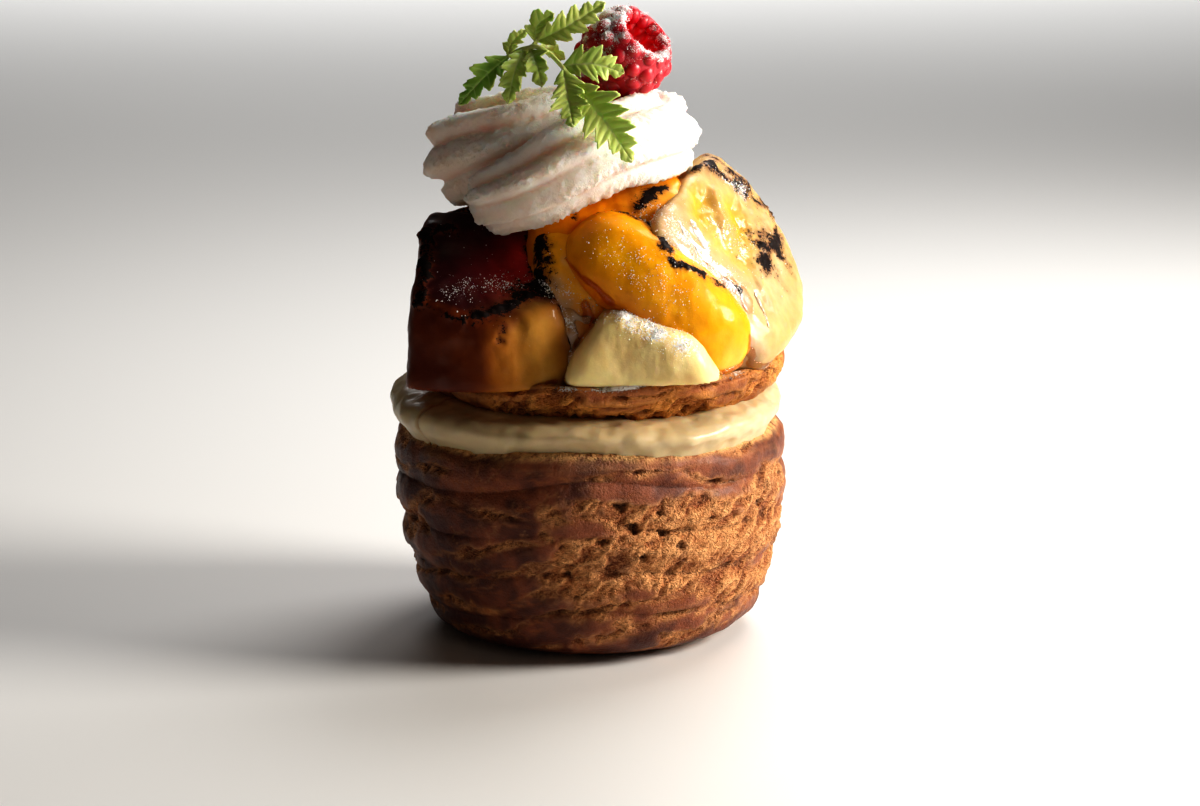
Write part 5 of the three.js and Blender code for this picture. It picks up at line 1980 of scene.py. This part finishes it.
@dataclass
class Raspberry:
    """A raspberry that lies on the cream with its hollow end up."""

    centre: Point = (5.8, -6.8, 114.4)
    axis: Point = (0.62, -0.42, 0.66)
    around: int = 13
    rows: int = 8
    seed: int = 51
    bead_sizes: tuple[float, float] = (1.75, 2.1)
    outside: tuple[tuple[float, float], ...] = (
        (0, -8.5), (4.5, -6.8), (7.2, -2.8), (7.9, 1.6), (7.5, 4.8), (6.2, 7.2),
    )
    core_outside: tuple[tuple[float, float], ...] = (
        (0, -8.6), (4.8, -7), (7.7, -2.8), (8.4, 1.6), (7.8, 5.2), (6.2, 8),
    )
    core_inside: tuple[tuple[float, float], ...] = ((6.2, 8), (5.4, 8.1), (4.8, 6.4), (3.4, 1), (0, -1.6))
    bright: Colour = (0.62, 0.01, 0.028)
    # The dark red is both the drupelets' darker tint and painted shade on the lower left.
    dark: Colour = (0.26, 0.003, 0.014)
    inner: Colour = (0.86, 0.05, 0.07)
    surface: Surface | None = None

    def beads(self) -> list[Surface]:
        """Sets the drupelets in rows from the tip to the rim.

        Returns:
            Their surfaces, round the Z axis, each with a tint of its own.
        """
        rng = np.random.default_rng(self.seed)
        path = smooth_line(self.outside, 0.1)
        shape = ball(6)
        parts = []
        for row in range(self.rows):
            share = (row + 0.3) / (self.rows - 0.7)
            radius, along = path[min(len(path) - 1, int(share * (len(path) - 1)))]
            count = max(4, int(round(self.around * min(1, radius / 6.6 + 0.12))))
            for k in range(count):
                turn = (k + 0.5 * (row % 2) + rng.uniform(-0.1, 0.1)) / count * TURN
                size = rng.uniform(*self.bead_sizes) * (0.85 if row == self.rows - 1 else 1)
                level = along + rng.uniform(-0.25, 0.25)
                centre = np.array([radius * math.cos(turn), radius * math.sin(turn), level])
                bead = shape.points * size * rng.uniform(0.92, 1.1, 3) + centre - 0.75 * unit(centre)
                parts.append(Surface(bead, shape.faces, {"tint": np.full(len(bead), rng.uniform(0, 1))}))
        return parts

    def core(self) -> Surface:
        """Makes the wall that the drupelets sit on, ribbed inside.

        Returns:
            Its surface, round the Z axis; its tint is 2 inside and 0 outside.
        """
        profile = joined_lines(smooth_line(self.core_outside, 0.5), smooth_line(self.core_inside, 0.35))
        core, azimuth, row = turned(profile, 88)
        inside = row > np.argmax(profile[:, 1]) + 1
        ribs = np.sin(azimuth * self.around)
        core.swell((0.392 * ribs + 0.28 * np.sin(core.points[:, 2] * 2.6 + 2 * ribs)) * inside)
        core.marks["tint"] = np.where(inside, 2, 0)
        return core

    def build(self) -> Piece:
        """Builds and dresses it.

        Returns:
            The piece.
        """
        whole = merged([*self.beads(), self.core()])
        local = whole.points
        turn = np.array(Vector((0, 0, 1)).rotation_difference(Vector(unit(np.array(self.axis)))).to_matrix())
        whole.points = local @ turn.T + np.array(self.centre)
        noise = GradientNoise(self.seed + 1)
        whole.swell(0.05 * noise.at(whole.points, 1))
        normals = whole.normals()
        tint = whole.marks.pop("tint")
        inside = tint > 1.5
        right, _, up = (whole.points - self.centre).T
        # Painted shade darkens the berry towards its lower left, away from the light, along with a tint for
        # each drupelet and random tone.
        low_side_shade = 0.6 * smooth(-right - up, 0, 10)
        darkness = np.clip(0.25 * np.clip(tint, 0, 1) + low_side_shade + 0.15 * noise.at(local, 3), 0, 1)
        paint = blend(self.bright, self.dark, darkness)
        paint[inside] = blend(self.inner, self.bright, smooth(-local[inside][:, 2], -4, 1.5))
        facing = normals @ (np.array([0.1, -0.15, 1]) / 1.02)
        left = smooth(0.6 * up - right, -3, 7)
        frost = 0.02 + 0.32 * bell(local[:, 2], 6.6, 3) + 0.26 * left + 0.7 * noise.at(local, 2.8)
        frost = 0.06 + frost * smooth(facing, -0.3, 0.7)
        whole.marks["paint"] = paint
        whole.marks["powder"] = np.where(inside & (local[:, 2] < 5.6), -0.6, frost)
        piece = placed(whole, "raspberry_berry", BERRY.material())
        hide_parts("raspberry")
        self.surface = whole
        return piece


# ---- Chervil ----


@dataclass(frozen=True)
class Leaflet:
    """A lobed leaflet: its midrib from root to tip, its breadth, its lobes on each side and its tint."""

    rib: tuple[Point, Point, Point]
    breadth: float
    lobes: int
    tint: float = 0.5


@dataclass
class Chervil:
    """A sprig of chervil."""

    seed: int = 600
    steps: int = 20
    columns: int = 17
    thickness: float = 0.28
    stalk_radius: float = 0.5
    stalk_sides: int = 14
    facing: Point = (-0.1, -1, 0.4)
    green: Colour = (0.6, 0.7, 0.19)
    deep: Colour = (0.22, 0.36, 0.06)
    light: Colour = (0.8, 0.86, 0.34)
    vein: Colour = (0.78, 0.85, 0.42)
    stalks: tuple[tuple[Point, ...], ...] = (
        ((-14, -4, 103), (-13.5, -8, 111), (-11.5, -11, 117), (-8, -14, 116.5), (-5, -18, 114),
        (-2.5, -20, 111)), ((-11.5, -11, 117), (-13.5, -9.6, 116.4), (-16, -9, 115)),
        ((-11.5, -11, 116.6), (-10.6, -10.4, 117.6), (-10, -10, 118.6)),
    )
    leaflets: tuple[Leaflet, ...] = (
        Leaflet(((-2.8, -19.8, 111.4), (2.5, -26, 105.5), (8, -28.5, 97.5)), 10, 6, 0.6),
        Leaflet(((-5, -18.6, 113.9), (-4, -22.5, 109), (-3, -28, 104)), 7.4, 5, 0.45),
        Leaflet(((-5.2, -17.8, 114.2), (0.5, -18.8, 114.8), (6.5, -18.4, 113)), 7.2, 4, 0.35),
        Leaflet(((-10.2, -10.2, 118.2), (-4.5, -11, 121), (3, -10, 125.5)), 7, 5, 0.7),
        Leaflet(((-10.3, -10.2, 118), (-10, -9, 121), (-6.8, -9, 123.4)), 5, 3, 0.7),
        Leaflet(((-9.8, -11.6, 117), (-7.2, -7.6, 116), (-4.8, -6.4, 114.4)), 4, 3, 1.3),
        Leaflet(((-15.6, -9, 115.2), (-15, -7.4, 117.6), (-12, -7, 120)), 3.6, 3, 0.95),
        Leaflet(((-12.4, -10.2, 116.8), (-14.2, -14.6, 113), (-15.5, -16.6, 107)), 6.4, 4, 0.4),
        Leaflet(((-11.4, -11.2, 116.8), (-10, -16, 114.4), (-9, -18.6, 110.4)), 5.6, 3, 0.4),
        Leaflet(((-15.6, -9.2, 115.2), (-20, -11.6, 111.6), (-25, -12, 106.2)), 6, 4, 0.05),
    )

    def half_edge(
        self, leaflet: Leaflet, share: Array, sign: int, rng: np.random.Generator
    ) -> tuple[Array, Array, Array]:
        """Cuts one side of a leaflet into toothed lobes.

        Args:
            leaflet: the leaflet.
            share: how far along its midrib each place is, from 0 to 1.
            sign: which side it is, -1 or 1.
            rng: picks how uneven the lobes are.

        Returns:
            How far the edge reaches, how far each place is from its lobe's middle, and how tall its lobe is.
        """
        pushes = rng.uniform(-0.12, 0.12, leaflet.lobes + 2)
        tall = rng.uniform(0.8, 1.12, leaflet.lobes + 2)
        phase = share * leaflet.lobes + 0.08 * sign
        number = np.clip(np.floor(phase).astype(int), 0, leaflet.lobes + 1)
        part = phase - np.floor(phase)
        peak = 0.66 + pushes[number]
        lobe = np.minimum(np.clip(part / peak, 0, 1) ** 0.45, np.clip((1 - part) / (1 - peak), 0, 1) ** 0.5)
        saw = (3 * part + 0.5) % 1
        teeth = 0.13 * np.minimum(saw / 0.65, (1 - saw) / 0.35) ** 0.8 * np.minimum(1, 2.5 * lobe)
        last = smooth(share, 1 - 1 / leaflet.lobes, 1 - 0.6 / leaflet.lobes)
        edge = (0.2 + 0.64 * lobe + teeth) * tall[number] * (1 - last) + (0.6 + 0.25 * lobe + teeth) * last
        return edge, np.abs(part - peak), tall[number]

    def blade(self, leaflet: Leaflet, seed: int) -> Surface:
        """Shapes and paints a leaflet's upper face.

        Args:
            leaflet: the leaflet.
            seed: picks how uneven its lobes are.

        Returns:
            The surface.
        """
        rng = np.random.default_rng(seed)
        share = np.linspace(0.0, 1.0, leaflet.lobes * self.steps + 1)
        rib = smooth_line(leaflet.rib, 0.02)
        place = share * (len(rib) - 1)
        line = np.stack([np.interp(place, np.arange(len(rib)), rib[:, k]) for k in range(3)], axis=1)
        along, side, normal = sides_of(line, self.facing)
        lobe_length = np.linalg.norm(np.diff(line, axis=0), axis=1).sum() / leaflet.lobes
        across = np.linspace(-1.0, 1.0, self.columns)
        grid_share, grid_across = np.meshgrid(share, across, indexing="ij")
        sides = [self.half_edge(leaflet, share, sign, rng) for sign in (-1, 1)]
        edge, middle, tall = (
            sum(np.where(np.sign(grid_across) == sign, one[:, None], 0) for sign, one in zip((-1, 1), pair))
            for pair in zip(*sides)
        )
        outline = 0.56 * leaflet.breadth * np.sin(math.pi * np.clip(share, 0.004, 1) ** 0.66) ** 0.85
        reach = np.abs(grid_across)
        half = np.maximum(outline, 0.05)[:, None] * np.where(reach > 0, edge, 1)
        puff = 0.16 * np.sin(math.pi * np.clip(middle * 2.2, 0, 1)) * np.sin(math.pi * reach)
        cup = 0.2 * half * reach + 0.35 * np.sin(TURN * 1.3 * grid_share + seed) * reach**2
        moves = (
            (grid_across * half, side),
            (0.62 * half * reach**1.3, along),
            (cup + puff - 0.12 * bell(reach, 0, 0.06), normal),
        )
        points = sum((far[..., None] * way[:, None] for far, way in moves), line[:, None]).reshape(-1, 3)
        side_vein = 0.75 * bell(middle * lobe_length, 0, 0.13) * (1 - 0.6 * reach)
        vein = np.clip(np.maximum(bell(reach * half, 0, 0.16), side_vein), 0, 1).ravel()
        tint = leaflet.tint + 0.25 * GradientNoise(seed + 5).fbm(points, 3, 2) + 0.25 * (tall.ravel() - 1)
        green = blend(self.deep, self.green, np.clip(2 * tint, 0, 1))
        green = blend(green, self.light, np.clip(tint - 0.5, 0, 1))
        green = blend(green, self.light, 0.3 * smooth(reach.ravel(), 0.86, 1))
        faces = [grid_faces(len(share), len(across), False)]
        surface = Surface(points, faces, {"paint": blend(green, self.vein, 0.75 * vein)})
        surface.face(np.array(self.facing))
        return surface

    def stalk(self, line: Sequence[Point]) -> Surface:
        """Shapes and paints a stalk, which is thinner towards its end.

        Args:
            line: what it runs along.

        Returns:
            The surface.
        """
        count = self.stalk_sides
        path = smooth_line(line, 0.3)
        _, side, up = sides_of(path, (0.3, 0.2, 1))
        turn = np.arange(count) / count * TURN
        radius = self.stalk_radius * np.linspace(1.1, 0.75, len(path))
        points = rings(path, side, up, radius[:, None] * (1 + 0.1 * np.cos(5 * turn)), turn).reshape(-1, 3)
        ends = np.arange(count)[None]
        faces = [grid_faces(len(path), count, True), ends[:, ::-1], ends + count * (len(path) - 1)]
        tone = blend(self.light, self.green, 0.45 + 0.35 * GradientNoise(61).at(points, 3))
        surface = Surface(points, faces, {"paint": tone})
        surface.face(points - np.repeat(path, count, axis=0))
        return surface

    def build(self) -> list[Piece]:
        """Builds and dresses it.

        Returns:
            The leaves and the stalks.
        """
        finish = LEAF.material()
        blades = merged([self.blade(leaflet, self.seed + k) for k, leaflet in enumerate(self.leaflets)])
        leaves = placed(blades, "chervil_leaves", finish)
        thickness = leaves.modifiers.new("thickness", "SOLIDIFY")
        thickness.thickness = self.thickness * MM
        thickness.offset = 0
        stem = merged([self.stalk(line) for line in self.stalks])
        stalks = placed(stem, "chervil_stalks", finish)
        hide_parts("chervil")
        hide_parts("chervil")
        return [leaves, stalks]


# ---- Icing sugar ----


@dataclass
class IcingSugar:
    """Grains of icing sugar that lie where the powder is thick."""

    seed: int = 81
    grains: int = 11000
    small: float = 0.06
    large: float = 0.18
    white: float = 0.94

    def build(self, under: list[Surface]) -> Piece:
        """Scatters it, each grain a lump with six corners.

        Args:
            under: what the sugar lies on, with its powder mark.

        Returns:
            The piece.
        """
        rng = np.random.default_rng(self.seed)
        count = self.grains
        points = np.concatenate([surface.points for surface in under])
        normals = np.concatenate([surface.normals() for surface in under])
        amount = np.concatenate([surface.marks["powder"] for surface in under])
        weight = np.clip(amount - 0.04, 0, 1) ** 1.2 * smooth(normals[:, 2], -0.35, 0.4)
        weight = weight * smooth(GradientNoise(self.seed + 1).fbm(points, 1.6, 2), -0.35, 0.5)
        chosen = rng.choice(len(points), count, p=weight / weight.sum())
        centre = points[chosen] + rng.normal(0, 0.18, (count, 3))
        size = self.small + (self.large - self.small) * rng.random(count) ** 2.5
        centre = centre + normals[chosen] * (size * rng.uniform(0.2, 1.1, count))[:, None]
        corners = np.stack([np.eye(3), -np.eye(3)], axis=1).reshape(6, 3)
        upper = np.array([(0, 2, 4), (2, 1, 4), (1, 3, 4), (3, 0, 4)])
        faces = np.concatenate([upper, [(2, 0, 5), (1, 2, 5), (3, 1, 5), (0, 3, 5)]])
        spin = np.linalg.qr(rng.normal(size=(count, 3, 3)))[0]
        shape = corners * rng.uniform(0.6, 1.3, (count, 6, 1))
        solid = centre[:, None] + np.einsum("nij,nkj->nki", spin, shape) * size[:, None, None]
        all_faces = (faces + 6 * np.arange(count)[:, None, None]).reshape(-1, 3)
        surface = Surface(solid.reshape(-1, 3), [all_faces], {"paint": np.full((6 * count, 3), self.white)})
        return placed(surface, "sugar_grains", SUGAR.material())


# ---- Studio ----


@dataclass(frozen=True)
class Lamp:
    """A soft round light: its place, breadth in metres, power in watts, colour and what it faces."""

    name: str
    place: Point
    size: float
    power: float
    colour: Colour
    target: Point = (0, 0, 0.06)

    def build(self) -> None:
        """Sets it up."""
        data = bpy.data.lights.new(self.name, "AREA")
        data.shape = "DISK"
        data.size = self.size
        data.energy = self.power
        data.color = self.colour
        lamp = bpy.data.objects.new(self.name, data)
        lamp.location = self.place
        lamp.rotation_euler = (Vector(self.target) - Vector(self.place)).to_track_quat("-Z", "Y").to_euler()
        bpy.context.scene.collection.objects.link(lamp)


@dataclass
class Studio:
    """A pale floor, soft light from the right and the camera."""

    camera_place: Point = (0.002, -0.5858, 0.1749)
    camera_tilt: float = 77.5
    lens: float = 90.0
    floor_size: float = 6.0
    floor_drop: float = 0.05
    floor_colour: Colour = (0.82, 0.82, 0.81)
    floor_shade: Colour = (0.78, 0.78, 0.77)
    sky: Colour = (1, 0.84, 0.72)
    sky_strength: float = 0.032
    view: str = "Standard"
    look: str = "High Contrast"
    exposure: float = -0.1
    lamps: tuple[Lamp, ...] = (
        Lamp("key", (0.48, -0.07, 0.27), 0.24, 3.7, (1, 0.95, 0.88)),
        Lamp("window", (0.2, 0.3, 0.48), 0.4, 1.8, (1, 0.98, 0.96)),
        Lamp("fill", (0.25, -0.7, 0.3), 0.5, 0.3, (1, 0.82, 0.66)),
        Lamp("backdrop", (0, 2.4, 1.3), 1.8, 34, (1, 1, 1), (0, 2.7, 0)),
    )

    def floor(self) -> None:
        """Lays the floor."""
        material, wiring, shader = new_material("studio_floor")
        cloud = wiring.mix((*self.floor_colour, 1), (*self.floor_shade, 1), wiring.noise(400, 1))
        wiring.feed(shader, Base_Color=cloud, Roughness=0.6)
        corners = np.array([(-1, -1, 0), (1, -1, 0), (1, 1, 0), (-1, 1, 0)]) * self.floor_size / 2 / MM
        mesh = Surface(corners - (0, 0, self.floor_drop), [np.array([[0, 1, 2, 3]])]).mesh("floor")
        mesh.materials.append(material)
        floor = bpy.data.objects.new("floor", mesh)
        bpy.context.scene.collection.objects.link(floor)

    def build(self) -> None:
        """Sets up the floor, the sky, the lamps and the camera."""
        scene = bpy.context.scene
        self.floor()
        world = bpy.data.worlds.new("sky")
        world.use_nodes = True
        background = world.node_tree.nodes["Background"]
        background.inputs[0].default_value = (*self.sky, 1)
        background.inputs[1].default_value = self.sky_strength
        scene.world = world
        scene.view_settings.view_transform = self.view
        scene.view_settings.look = self.look
        scene.view_settings.exposure = self.exposure
        for lamp in self.lamps:
            lamp.build()
        data = bpy.data.cameras.new("camera")
        data.lens = self.lens
        data.sensor_width = 36
        camera = bpy.data.objects.new("camera", data)
        camera.location = self.camera_place
        camera.rotation_euler = (math.radians(self.camera_tilt), 0, 0)
        scene.collection.objects.link(camera)
        scene.camera = camera


def main() -> None:
    """Builds the bun from its foot up, then the studio."""
    logging.basicConfig(level=logging.INFO, format="%(message)s")
    ChouxCase().build()
    CustardLayer().build()
    ChouxLid().build()
    fruit = FruitPile()
    fruit.build()
    SyrupGlaze("syrup_glaze", SYRUP_RUNS).build(fruit.surfaces)
    SyrupGlaze("milky_glaze", MILKY_RUNS, milky=True, scorched=SCORCHED).build(fruit.surfaces)
    CreamSwirl().build()
    berry = Raspberry()
    berry.build()
    Chervil().build()
    IcingSugar().build([*fruit.surfaces, berry.surface])
    Studio().build()


if __name__ == "__main__":
    main()
